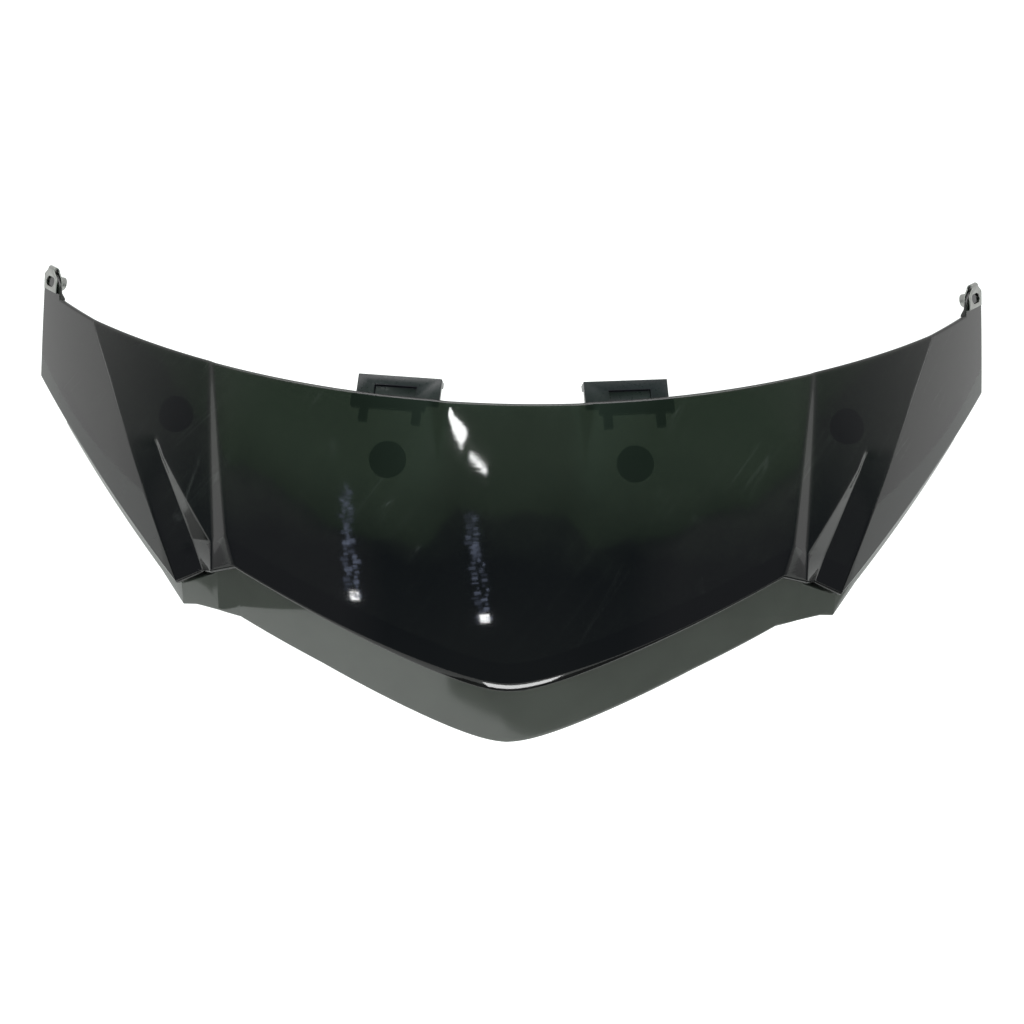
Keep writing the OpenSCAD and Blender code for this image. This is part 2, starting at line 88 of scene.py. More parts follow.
class ScreenSizes(bpy.types.PropertyGroup):
    """Sizes of the smoked moulding."""

    half_width: length("Half width", "Half of the width from ear to ear", 157)
    wrap_radius: length("Wrap radius", "Radius of the wrap round the cowl, from above", 200)
    screen_height: length("Height", "Height at the middle, from the prow to the top edge", 80.5)
    top_rise: length("Top rise", "How much higher the top edge is at the ears", 9.5)
    prow_angle: angle("Prow angle", "Slope of the two arms of the V edge", 20.8)
    prow_round: length("Prow rounding", "Rounding of the V edge at the prow", 4.4)
    rake_low: angle("Rake at the prow", "Lean from the vertical at the prow", 11.5)
    rake_top: angle("Rake at the top", "Lean from the vertical at the top edge", 35.5)
    wall: length("Wall", "Thickness of the moulding", 2.5)
    rim: length("Rim radius", "Rounding of the moulding's edges", 1.0)
    low_rim: length("Lower rim", "Length of the rounding on the face above the lower edge", 3.6)
    corner_x: length("Corner place", "Sideways place of the lower corner", 104.4)
    corner_up: length("Corner height", "Height of the lower corner", 18.8)
    wing_end_up: length("Wing end height", "Height of the wing's lower edge at its rear end", 63)
    edge_top_x: length("Panel edge, top", "Sideways place of the panel's edge at the top", 94)
    edge_ledge_x: length("Panel edge, ledge", "The same at the skirt's ledge", 88)
    edge_low_x: length("Panel edge, foot", "The same at the V edge", 85)
    wall_top_w: length("Panel wall, top", "Width of the wall beside the centre panel, top", 1.4)
    wall_low_w: length("Panel wall, foot", "Width of the wall beside the centre panel, foot", 7.4)
    side_step_top: length("Side step, top", "Set-back of the side panel at the top", 0.7)
    side_step_low: length("Side step, foot", "Set-back of the side panel at the corner", 3.4)
    recess_depth: length("Groove depth", "Depth of the groove beside the strip", 3.1)
    recess_start: share("Groove start", "Share of that depth at the strip's upper end", 0.35)
    tip_x: length("Groove tip place", "Sideways place of the tip of the groove's wall", 109.8)
    tip_up: length("Groove tip height", "Height of the tip of the groove's wall", 53.6)
    strip_over: length("Strip end", "Height of the strip's upper end above that tip", 7)
    strip_top_x: length("Groove line", "Where the groove's line would meet the top edge", 124.5)
    strip_low_w: length("Strip width", "Width of the strip beside the wing crease at its foot", 8.4)
    crease_lean: angle("Crease lean", "Lean of the wing crease from the vertical", 24.4)
    crease_flick: length("Crease flick", "How far the crease flicks outward at the top edge", 0.5)
    wing_turn: share("Wing turn", "Extra slope of the outer wing behind its crease", 0.3)
    brow_half: length("Brow half width", "Half width of the raised brow", 22.6)
    brow_ramp: length("Brow ramp", "Width of the brow's side ramp at the top edge", 4.2)
    brow_height: length("Brow height", "How far the brow stands proud at the top edge", 0.9)
    brow_length: length("Brow length", "Length over which the brow fades out downward", 15)
    ear_width: length("Ear width", "Width of an ear along the wing", 13)
    ear_rise: length("Ear rise", "Height of an ear's tip above the top edge", 6.6)
    ear_shoulder: length("Ear shoulder", "Height of an ear's shoulders above the top edge", 3.6)
    ear_wall: length("Ear wall", "Thickness of an ear, thinned from behind", 1.2)
    ear_hole_r: length("Ear hole radius", "Radius of the clearance hole in an ear", 1.6)
    ear_hole_drop: length("Ear hole drop", "Height from the hole's centre to the ear's tip", 3.4)
    ledge_h: length("Ledge height", "Height of the skirt's ledge behind the lower edge", 8)


class SkirtSizes(bpy.types.PropertyGroup):
    """Sizes of the lower skirt and its bonding strips."""

    drop_centre: length("Drop, centre", "Drop of the skirt below the prow", 20.8)
    drop_side: length("Drop, panel corner", "Drop below the centre panel's lower corner", 18)
    drop_corner: length("Drop, lower corner", "Drop below the screen's lower corner", 10.2)
    drop_lip: length("Drop, lip", "Drop of the lip below the wing's lower edge", 7)
    corner_before: length("Corner start", "How far before the corner the drop is the corner's", 4.4)
    lip_after: length("Lip start", "How far past the corner the lip begins", 7.6)
    lean: angle("Lean", "Lean of the skirt back under the screen", 14)
    fold_lean: angle("Facet lean", "Lean of the triangular facet below the ends of the V edge", 3)
    fold_x: length("Fold place", "Sideways place where the fold leaves the V edge", 59)
    wall: length("Wall", "Thickness of the skirt", 2)
    rim: length("Rim radius", "Rounding of the skirt's edges", 0.7)
    crown: length("Crown", "How far the band bulges between its edges", 0.25)
    tape_h: length("Tape height", "Height of the bonding strip", 4.8)
    tape_t: length("Tape thickness", "Thickness of the bonding strip", 0.6)
    seat_gap: length("Seat gap", "Clearance on each seated face", 0.1)


class FittingSizes(bpy.types.PropertyGroup):
    """Sizes of the buffers, clips and nuts."""

    buffer_r: length("Buffer radius", "Radius of a rubber buffer", 5.7)
    buffer_t: length("Buffer thickness", "Thickness of a rubber buffer", 4.5)
    buffer_rim: length("Buffer rim", "Height of a buffer's straight rim", 1.8)
    buffer_face_r: length("Buffer face", "Radius of a buffer's rear face", 4.9)
    dimple_r: length("Dimple radius", "Radius of the dimple in a buffer's rear face", 1.6)
    dimple_floor_r: length("Dimple floor", "Radius of the dimple's floor", 1)
    dimple_depth: length("Dimple depth", "Depth of the dimple", 1)
    upper_x: length("Upper buffer place", "Sideways place of the upper buffers", 38.5)
    upper_up: length("Upper buffer height", "Height of the upper buffers", 64.3)
    side_x: length("Side buffer place", "Sideways place of the side buffers", 107.8)
    side_up: length("Side buffer height", "Height of the side buffers", 67.6)
    clip_edge: length("Clip edge", "Rounding of the hook clips' edges", 0.3)
    nut_edge: length("Nut edge", "Rounding of the clip nuts' edges", 0.1)


class Finishes(bpy.types.PropertyGroup):
    """Colours of the pieces."""

    smoke_high: colour("Smoke, upper", "Tint of the screen's upper part", (0.0085, 0.011, 0.0075))
    # The lower smoke tint is painted reflection: darker than the acrylic, it stands in for the dark
    # surroundings reflected in the screen's lower part
    smoke_painted_reflection_low: colour("Smoke, lower", "Tint of the screen's lower part", (0.0009, 0.0011, 0.0009))
    satin: colour("Satin grey", "Skirt", (0.056, 0.061, 0.053))
    tape: colour("Tape black", "Bonding strips", (0.008, 0.008, 0.008))
    clip: colour("Clip black", "Hook clips", (0.009, 0.0092, 0.013))
    rubber: colour("Rubber", "Buffers", (0.01, 0.011, 0.01))
    zinc: colour("Zinc", "Clip nuts", (0.31, 0.315, 0.3))


# Shape of the screen

def lerp(a, b, f):
    """Straight blend from a to b."""
    return a + (b - a) * f


def smooth_step(f):
    """0 to 1 with level ends: f^2 (3 - 2f)."""
    return f ** 2 * (3 - 2 * f)


def rounded_ramp(t, w):
    """0 before -w, t past w, and the parabola (t + w)^2 / 4w that joins them smoothly."""
    w = np.maximum(w, 1e-7)
    return np.where(t <= -w, 0.0, np.where(t >= w, t, (t + w) ** 2 / (4 * w)))


def unit(v):
    """Vectors scaled to length 1."""
    return v / np.linalg.norm(v, axis=-1, keepdims=True)


def out_normal(slope_x, slope_z):
    """Outward normal of y = f(x, z), from the two slopes of f."""
    parts = np.broadcast_arrays(np.asarray(slope_x, float), -1.0, np.asarray(slope_z, float))
    return unit(np.stack(parts, -1))


def rim_arc(radius, steps):
    """Quarter round of an edge: distances from the edge and depths sunk, from the edge inward."""
    theta = np.linspace(0, math.pi / 2, steps + 1)[:-1]
    return radius * (1 - np.cos(theta)), radius * (1 - np.sin(theta))


def eased(n):
    """n steps from 0 to 1, closer together at both ends; the end itself is left out."""
    return (1 - np.cos(np.arange(n) * math.pi / n)) / 2


class ScreenFace:
    """The screen's outer face: an arc in plan, a rake that grows with height, and relief lines.

    Ten lines run down each half, from the mirror plane to the ear's end: middle, brow inside,
    brow outside, panel edge, wall foot, recess outside, strip inside, crease, ear and end.
    A column is a number t from 0 to 9 between them, a station s is 0 at the top edge, 1 at the
    skirt's ledge and 2 at the lower edge.
    """

    # Columns from line to line, rounding of each line, and the most of a gap that it may take
    COUNTS = (12, 12, 44, 14, 14, 10, 16, 30, 34)
    ROUND = np.array((0, 1.3, 1.3, 0.6, 0.7, 0.5, 0.4, 0.7, 0.4, 0)) * MM
    ROUND_SHARE = 0.45
    # Half gap of lines that run together, and stations that the strip's upper end takes
    SEAM, STRIP_END = 0.3 * MM, 0.08
    # Roundings of the brow's lower end and of the skirt's fold
    BROW_ROUND, FOLD_ROUND = 0.6, 0.04
    # Share of an ear that its steep side takes, and sideways share of a length at the wing's end
    EAR_SIDE, END_TURN = 0.05, 0.555
    # Room for a rim's columns, in reaches of the rim
    RIM_ROOM = 1.02

    def __init__(self, scene):
        p = scene.screen_sizes
        k = scene.skirt_sizes
        self.p, self.k = p, k
        self.rake_gain = (math.tan(p.rake_top) - math.tan(p.rake_low)) / p.screen_height
        self.strip_low_x = p.corner_x - p.strip_low_w
        self.brow_s = p.brow_length / (p.screen_height - p.ledge_h)
        strip_top = self.top_z(p.strip_top_x)
        strip_low = self.low_z(self.strip_low_x)
        strip_span = float(strip_top - strip_low - p.ledge_h)
        self.tip_s = float(strip_top - p.tip_up) / strip_span
        self.strip_s = self.tip_s - p.strip_over / strip_span
        self.side_slope_z = (p.side_step_top - p.side_step_low) / (p.screen_height - p.corner_up)
        self.stations = np.array([0, self.brow_s, self.tip_s, 1, 2])
        end_slope = self.wrap_slope(p.half_width) + p.wing_turn
        self.ear_x = p.half_width - p.ear_width / math.hypot(1, end_slope)
        self.lines = self.relief_lines()
        hole_x = (self.ear_x + p.half_width) / 2
        hole_z = float(self.top_z(hole_x)) + p.ear_rise - p.ear_hole_drop
        hole_y = float(self.base_y(hole_x, hole_z) + self.side_back(hole_x, hole_z))
        self.hole = np.array((hole_x, hole_y, hole_z))
        self.ear_out = out_normal(
            self.wrap_slope(hole_x) + p.wing_turn,
            self.rake_slope(hole_z) + self.side_slope_z - p.wing_turn * math.tan(p.crease_lean))
        self.ledge_sunk = p.wall + k.tape_t + 2 * k.seat_gap
        self.tape_s = (p.ledge_h - k.tape_h) / (2 * p.ledge_h)
        self.shift = np.array((0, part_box("screen")[0][1], -self.skirt_foot()))

    # Smooth face and outline

    def wrap_slope(self, x):
        """Slope of the arc in plan: x / sqrt(r^2 - x^2)."""
        return x / np.sqrt(self.p.wrap_radius ** 2 - np.square(x))

    def rake_slope(self, z):
        """Slope of the lean, which grows evenly with height."""
        return math.tan(self.p.rake_low) + self.rake_gain * z

    def base_y(self, x, z):
        """The smooth face: an arc of the wrap's radius in x plus a parabola in z."""
        wrap = self.p.wrap_radius - np.sqrt(self.p.wrap_radius ** 2 - np.square(x))
        return wrap + math.tan(self.p.rake_low) * z + self.rake_gain * np.square(z) / 2

    def top_z(self, x):
        """Top edge: a parabola that rises towards the ears."""
        return self.p.screen_height + self.p.top_rise * np.square(x / self.p.half_width)

    def low_z(self, x):
        """Lower edge: a V rounded as a hyperbola, then straight runs to the corner and wing end."""
        p = self.p
        prow = lambda a: np.hypot(a * math.tan(p.prow_angle), p.prow_round) - p.prow_round
        knots = (p.edge_low_x, p.corner_x, p.half_width)
        sides = np.interp(x, knots, (prow(p.edge_low_x), p.corner_up, p.wing_end_up))
        return np.where(x <= p.edge_low_x, prow(x), sides)

    # Relief

    def crease_x(self, z):
        """Wing crease: a straight line that leans outward from the corner."""
        return self.p.corner_x + (z - self.p.corner_up) * math.tan(self.p.crease_lean)

    def side_back(self, x, z):
        """Set-back of the side: straight in z, plus the wing's slope past the crease."""
        p = self.p
        wing = p.wing_turn * np.maximum(0, x - self.crease_x(z))
        return p.side_step_low + self.side_slope_z * (z - p.corner_up) + wing

    def groove(self, s):
        """Depth of the groove: a short drop at the strip's upper end, then a slow fall."""
        drop = np.clip((s - self.strip_s) / self.STRIP_END, 0, 1)
        start = self.strip_s + self.STRIP_END
        fall = np.clip((s - start) / (1 - start), 0, 1)
        return self.p.recess_depth * lerp(fall, smooth_step(drop), self.p.recess_start)

    def brow(self, s):
        """Set-back of the brow: a straight fade from the top edge down, rounded at its end."""
        return -self.p.brow_height * rounded_ramp(1 - s / self.brow_s, self.BROW_ROUND)

    def station_z(self, s, top, low):
        """Heights of stations: straight from top to ledge, then straight to the lower edge."""
        ledge = low + self.p.ledge_h
        return np.where(s <= 1, lerp(top, ledge, s), lerp(ledge, low, s - 1))

    def relief_lines(self):
        """Sideways place of the ten lines at the five stations."""
        p, st = self.p, self.stations
        edge = np.where(st <= 1, lerp(p.edge_top_x, p.edge_ledge_x, st), p.edge_low_x)
        foot = edge + lerp(p.wall_top_w, p.wall_low_w, st / 2)
        half_ramp = np.where(st == 0, p.brow_ramp / 2, self.SEAM)
        at_brow = lerp(p.strip_top_x, p.tip_x, self.brow_s / self.tip_s)
        strip = np.array((p.strip_top_x, at_brow, p.tip_x))
        rise = p.tip_up - self.low_z(self.strip_low_x)
        ledge_x = lerp(self.strip_low_x, p.tip_x, p.ledge_h / rise)
        recess_out = np.concatenate((strip - self.SEAM, foot[3:] + 2 * self.SEAM))
        strip_in = np.concatenate((strip + self.SEAM, (ledge_x, self.strip_low_x)))
        top = self.top_z(self.crease_x(p.screen_height + p.top_rise))
        crease = self.crease_x(self.station_z(st, top, p.corner_up)) + p.crease_flick * (st == 0)
        ones = np.ones(5)
        return np.array((
            0 * ones, p.brow_half - half_ramp, p.brow_half + half_ramp, edge, foot,
            recess_out, strip_in, crease, self.ear_x * ones, p.half_width * ones))

    def ear_bump(self, t):
        """Height of the ear over the top edge: a parabola with a steep inner side."""
        f = np.clip(t - 8, 0, 1)
        crown = lerp(self.p.ear_rise, self.p.ear_shoulder, (2 * f - 1) ** 2)
        return crown * np.clip(f / self.EAR_SIDE, 0, 1)

    def column_x(self, t, s):
        """Sideways place of columns t at stations s, as a grid of rows s and columns t."""
        at_rows = np.array([np.interp(s, self.stations, line) for line in self.lines]).T
        i = np.minimum(t.astype(int), 8)
        return lerp(at_rows[:, i], at_rows[:, i + 1], t - i)

    def column_ends(self, t):
        """Heights of the top and lower ends of columns t."""
        ends = self.column_x(t, np.array((0.0, 2.0)))
        return self.top_z(ends[0]) + self.ear_bump(t), self.low_z(ends[1])

    def plain_z(self, t, s):
        """Heights of columns t at stations s, without the ears."""
        ends = self.column_x(t, np.array((0.0, 2.0)))
        return self.station_z(s[:, None], self.top_z(ends[0]), self.low_z(ends[1]))

    def relief(self, x, s, grooved=1.0):
        """Set-back behind the smooth face: straight from line to line, rounded at each line.

        It is the sum, over the lines, of the change of slope there times a rounded ramp.
        """
        t = np.arange(10.0)
        knots = self.column_x(t, s)
        side = self.side_back(knots, self.plain_z(t, s))
        raised = self.brow(s)[:, None] + 0 * side
        deep = side + grooved * self.groove(s)[:, None]
        level = np.where(t < 2, raised, np.where(t < 4, 0 * side, np.where(t == 6, deep, side)))
        gaps = np.diff(knots, axis=1)
        slope = np.diff(level, axis=1) / gaps
        total = level[:, :1] + 0 * x
        for i in range(1, 9):
            room = self.ROUND_SHARE * np.minimum(gaps[:, i - 1], gaps[:, i])
            width = np.minimum(self.ROUND[i], room)
            bend = (slope[:, i] - slope[:, i - 1])[:, None]
            total = total + bend * rounded_ramp(x - knots[:, i:i + 1], width[:, None])
        return total

    def face(self, t, s, z, sunk=0.0, tilt=None):
        """Points of the face at columns t and stations s, sunk inward along the smooth normal."""
        x = self.column_x(t, s)
        wing_slope = self.side_slope_z - self.p.wing_turn * math.tan(self.p.crease_lean)
        y = self.base_y(x, z) + self.relief(x, s) + (t > 7) * wing_slope * (z - self.plain_z(t, s))
        slope_z = self.rake_slope(z) if tilt is None else tilt
        out = out_normal(self.wrap_slope(x), slope_z)
        return np.stack((x, y, z), -1) - out * np.asarray(sunk)[..., None]

    # Skirt

    def skirt_drop(self, x):
        """Height of the band: straight runs between centre, panel corner, lower corner and lip."""
        p, k = self.p, self.k
        places = (0, p.edge_low_x, p.corner_x - k.corner_before, p.corner_x + k.lip_after)
        return np.interp(x, places, (k.drop_centre, k.drop_side, k.drop_corner, k.drop_lip))

    def fold_push(self, x, fall):
        """How far the band comes forward above its fold, by the facet's steeper lean."""
        p, k = self.p, self.k
        out = self.lines[4][4]
        at = np.clip((x - k.fold_x) / (out - k.fold_x), 0, 1)
        turn = lerp(self.strip_low_x, out, fall)
        fade = np.clip((p.corner_x - x) / (p.corner_x - turn), 0, 1)
        width = np.minimum(self.FOLD_ROUND, at / 2)
        above = np.where(at > 0, fall - rounded_ramp(fall - at, width), 0)
        return (math.tan(k.lean) - math.tan(k.fold_lean)) * self.skirt_drop(x) * above * fade

    def skirt_tilt(self, z):
        """Slope at the band's upper edge: the mean of the screen's lean and the skirt's."""
        return (self.rake_slope(z) - math.tan(self.k.lean)) / 2

    def skirt_foot(self):
        """Height of the skirt's lowest point, on the mirror plane."""
        t, s, z = np.zeros(1), np.full(1, 2.0), np.zeros((1, 1))
        edge = self.face(t, s, z, np.full((1, 1), self.ledge_sunk), self.skirt_tilt(z))
        return float(edge[0, 0, 2]) - self.k.drop_centre

    def line_columns(self, last):
        """Columns from the middle to line last, closer together beside the lines."""
        return np.concatenate([i + eased(n) for i, n in enumerate(self.COUNTS[:last])])

    def columns(self, last, rim):
        """Columns up to a rounded rim at line last, and the depths that they are sunk."""
        t = self.line_columns(last)
        distance, depth = rim_arc(rim, steps=5)
        turn = self.END_TURN if last == 9 else 1
        reach = turn / (self.lines[last][4] - self.lines[last - 1][4])
        keep = t < last - rim * reach * self.RIM_ROOM
        tail = np.concatenate(((rim,), distance[::-1]))
        t = np.concatenate((t[keep], last - tail * reach))
        sunk = np.concatenate((np.zeros(keep.sum() + 1), depth[::-1]))
        return t, sunk

    def whole(self, half):
        """Both halves of a grid, mirrored across the middle column, in the part's frame."""
        left = half[:, :0:-1] * np.array((-1, 1, 1))
        return np.concatenate((left, half), axis=1) + self.shift


def shell(outer, inner):
    """Closed shell between two grids: front, back and four strips, all facing outward."""
    rows, cols = outer.shape[:2]
    a = np.arange(rows * cols).reshape(rows, cols)
    b = a + rows * cols
    pack = lambda *corners: np.stack(corners, -1).reshape(-1, 4)
    faces = (
        pack(a[1:, :-1], a[1:, 1:], a[:-1, 1:], a[:-1, :-1]),
        pack(b[:-1, :-1], b[:-1, 1:], b[1:, 1:], b[1:, :-1]),
        pack(a[0, :-1], a[0, 1:], b[0, 1:], b[0, :-1]),
        pack(b[-1, :-1], b[-1, 1:], a[-1, 1:], a[-1, :-1]),
        pack(a[1:, 0], a[:-1, 0], b[:-1, 0], b[1:, 0]),
        pack(b[1:, -1], b[:-1, -1], a[:-1, -1], a[1:, -1]),
    )
    points = np.concatenate((outer.reshape(-1, 3), inner.reshape(-1, 3)))
    return points, np.concatenate(faces)


def piece(name, points, quads, node, material):
    """A smooth-shaded mesh object that stands for a node of the frame."""
    mesh = bpy.data.meshes.new(name)
    mesh.vertices.add(len(points))
    mesh.vertices.foreach_set("co", np.ascontiguousarray(points, np.float32).ravel())
    mesh.loops.add(quads.size)
    mesh.loops.foreach_set("vertex_index", np.ascontiguousarray(quads, np.int32).ravel())
    mesh.polygons.add(len(quads))
    mesh.polygons.foreach_set("loop_start", np.arange(0, quads.size, 4, dtype=np.int32))
    mesh.update(calc_edges=True)
    mesh.validate()
    mesh.shade_smooth()
    obj = bpy.data.objects.new(name, mesh)
    bpy.context.scene.collection.objects.link(obj)
    return dress(obj, node, material)


def dress(obj, node, material):
    """Material, body, replaced node and finish slot of a piece."""
    obj.data.materials.clear()
    obj.data.materials.append(material)
    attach(obj, BODY)
    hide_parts(node)
    return obj


def rounded_rows(rim, body):
    """Stations, edge distances and sunk depths of rows: an arc at each edge round the body rows.

    The distances from the lower edge are shares of its own rim.
    """
    distance, depth = rim_arc(rim, steps=8)
    n = len(distance)
    s = np.concatenate((np.zeros(n), body, np.full(n, 2.0)))
    near_top = np.concatenate((distance, np.full(len(body), rim), np.full(n, rim)))
    near_low = np.concatenate((np.ones(n + len(body)), distance[::-1] / rim))
    sunk = np.concatenate((depth, np.zeros(len(body)), depth[::-1]))
    return s, near_top, near_low, sunk


# Sideways spread of the prow's longer lower rim, and the share of the rim's depth left there
PROW_SPREAD, PROW_DEPTH = 30 * MM, 0.5
# Thinning of an ear: its start below the hole, the height and the share of a column it takes
THIN_START, THIN_HEIGHT, THIN_COLUMN = 3.2 * MM, 0.5 * MM, 0.02
# Most of the wall that a rim may take
RIM_SHARE = 0.4
# Share of the skirt's drop that the bend under its ledge takes
BEND = 0.03
# Drop at which the screen's groove starts to fade out of the skirt, and the height that takes
FADE_START, FADE_HEIGHT = 0.2 * MM, 0.9 * MM
# Column at which the bonding strip ends, just short of the ear's line
TAPE_END = 7.999


def screen_layers(face):
    """Outer and inner grids of the screen, with rounded rims and the ears thinned from behind.

    Both lie on the face's normals: the rims are quarter rounds, the wall blends into a flat ear.
    """
    p = face.p
    strip_end = face.strip_s + face.STRIP_END
    spans = (
        (0, face.brow_s, 15), (face.brow_s, face.strip_s, 14), (face.strip_s, strip_end, 11),
        (strip_end, 1, 42), (1, 2, 14))
    body = np.unique(np.concatenate([np.linspace(*span) for span in spans]))
    s, near_top, near_low, row_sunk = rounded_rows(p.rim, body)
    t, column_sunk = face.columns(9, p.rim)
    top, low = face.column_ends(t)
    prow = np.exp(-(face.column_x(t, np.full(1, 2.0)) / PROW_SPREAD) ** 2)
    low_rim = lerp(p.rim, p.low_rim, prow)
    z = face.station_z(s[:, None], top - near_top[:, None], low + near_low[:, None] * low_rim)
    shallow = np.where(near_low[:, None] < 1, lerp(1, PROW_DEPTH, prow), 1)
    sunk = np.maximum(row_sunk[:, None] * shallow, column_sunk)
    plain = face.face(t, s, z)
    smooth_out = out_normal(face.wrap_slope(plain[..., 0]), face.rake_slope(z))
    level = (face.hole - plain) @ face.ear_out
    thin = (p.ear_wall - level) / (smooth_out @ face.ear_out)
    above = np.clip((plain[..., 2] - face.hole[2] + THIN_START) / THIN_HEIGHT, 0, 1)
    over = above * np.clip(1 + (t - 8) / THIN_COLUMN, 0, 1)
    depth = lerp(p.wall, thin, smooth_step(over))
    rim_sunk = np.minimum(sunk, RIM_SHARE * depth)
    inner = plain - smooth_out * (depth - rim_sunk)[..., None]
    outer = plain - smooth_out * rim_sunk[..., None]
    return face.whole(outer), face.whole(inner)


def skirt_layers(face):
    """Outer and inner grids of the skirt: a ledge behind the screen and a band that leans back.

    The ledge is the face, sunk behind wall and tape. The band falls from its lower edge: straight
    back by the lean, less the fading groove, the fold and a parabola of the crown's height.
    """
    k = face.k
    t, column_sunk = face.columns(8, k.rim)
    _, low = face.column_ends(t)
    distance, depth = rim_arc(k.rim, steps=4)
    n = len(distance)
    ledge = np.concatenate((np.ones(n), np.linspace(1, 2, 9)[:-1]))
    ledge_near = np.concatenate((distance, np.full(8, k.rim)))[:, None]
    ledge_sunk = np.concatenate((depth, np.zeros(8)))[:, None]
    z_ledge = face.station_z(ledge[:, None], low, low) - ledge_near * (ledge[:, None] <= 1)

    band = np.concatenate((
        np.linspace(0, BEND, 3), np.linspace(0.045, 0.15, 8), np.linspace(0.18, 1, 24)))
    falls = np.concatenate((band, np.ones(n)))[:, None]
    near = np.concatenate((np.full(len(band), k.rim), distance[::-1]))[:, None]
    band_sunk = np.concatenate((np.zeros(len(band)), depth[::-1]))[:, None]
    two = np.full(len(falls), 2.0)
    x = face.column_x(t, two)
    z = low + 0 * x
    tilt = face.skirt_tilt(z)
    full = face.skirt_drop(x)
    drop = np.maximum(0, full * falls - np.where(falls > BEND, near * falls, 0))
    fall = drop / full
    fade = smooth_step(np.clip((drop - FADE_START) / FADE_HEIGHT, 0, 1))
    groove = face.relief(x, two) - face.relief(x, two, 0.0)
    back = drop * math.tan(k.lean) - groove * fade - face.fold_push(x, fall)
    bulge = 4 * k.crown * fall * (1 - fall)
    edge = face.face(t, two, z, face.ledge_sunk + 0 * x, tilt)
    front = edge + np.stack((0 * x, back - bulge, -drop), -1)
    edge_out = out_normal(face.wrap_slope(x), tilt)
    band_out = out_normal(face.wrap_slope(x), -math.tan(k.lean) + 0 * z)
    way = unit(lerp(edge_out, band_out, np.clip(falls / BEND, 0, 1)[..., None]))

    def layer(inset, sign):
        """The face that lies an inset inside the skirt, with its rims sunk the way of sign."""
        ledge_in = inset + np.maximum(ledge_sunk, column_sunk) * sign
        band_in = inset + np.maximum(band_sunk, column_sunk) * sign
        upper = face.face(t, ledge, z_ledge, face.ledge_sunk + ledge_in)
        return face.whole(np.concatenate((upper, front - way * band_in[..., None])))

    return layer(0.0, 1), layer(k.wall, -1)


def tape_layers(face):
    """Near and far grids of the bonding strip, on the ledge between screen and skirt."""
    s = np.linspace(1 + face.tape_s, 2 - face.tape_s, 9)
    t = np.append(face.line_columns(8), TAPE_END)
    top, low = face.column_ends(t)
    z = face.station_z(s[:, None], top, low)
    near = face.p.wall + face.k.seat_gap
    return [face.face(t, s, z, d + 0 * z) + face.shift for d in (near, near + face.k.tape_t)]


# Finishes

# Where most values of a noise lie
NOISE_SPAN = (0.3, 0.7)
# Scratches: turn, stretch, half width, patches of mottle that have them, and tone on the screen
SCRATCH_TURN, SCRATCH_STRETCH = (0.0, 0.9, 0.3), (0.07, 0.07, 1.0)
SCRATCH_WIDTH, SCRATCH_PATCHES = 0.012, (0.52, 0.7)
SCRATCH_TONE = (0.05, 0.055, 0.055)
# Painted reflection of the dark front: heights over which the painted dark tint clears, half widths
# over which that clearing ends, and the share of it that stays beside them
PAINTED_REFLECTION_HEIGHTS, PAINTED_REFLECTION_WIDTHS = (0.055, 0.085), (0.088, 0.098)
PAINTED_REFLECTION_SIDE_CLEARING = 0.3
ACRYLIC_IOR = 1.49


def node_tree(material):
    """Empty node tree of a material, with its output and one shader."""
    material.use_nodes = True
    tree = material.node_tree
    tree.nodes.clear()
    out = tree.nodes.new("ShaderNodeOutputMaterial")
    shader = tree.nodes.new("ShaderNodeBsdfPrincipled")
    tree.links.new(shader.outputs["BSDF"], out.inputs["Surface"])
    return tree, shader


def add(tree, kind, links=(), **values):
    """A node with its properties, input values and incoming links."""
    node = tree.nodes.new(kind)
    for key, value in values.items():
        if hasattr(node, key):
            setattr(node, key, value)
        else:
            node.inputs[key.replace("_", " ")].default_value = value
    for socket, source in links:
        tree.links.new(source, node.inputs[socket])
    return node


def compute(tree, operation, *terms):
    """Result of a math node on the terms' sockets."""
    return add(tree, "ShaderNodeMath", enumerate(terms), operation=operation).outputs[0]


def ramp(tree, value, low, high, to_low, to_high):
    """Value mapped from low..high to to_low..to_high, clamped."""
    node = add(tree, "ShaderNodeMapRange", (("Value", value),),
               From_Min=low, From_Max=high, To_Min=to_low, To_Max=to_high)
    return node.outputs[0]


def wander(tree, noise, to_low, to_high):
    """The usual span of a noise mapped to to_low..to_high."""
    return ramp(tree, noise, *NOISE_SPAN, to_low, to_high)


def blend(tree, factor, first, second):
    """Mix by a factor of a first colour, or a socket that carries one, and a second colour."""
    node = add(tree, "ShaderNodeMix", (("Factor", factor),), data_type="RGBA")
    if isinstance(first, bpy.types.NodeSocket):
        tree.links.new(first, node.inputs[6])
    else:
        node.inputs[6].default_value = (*first, 1)
    node.inputs[7].default_value = (*second, 1)
    return node.outputs[2]


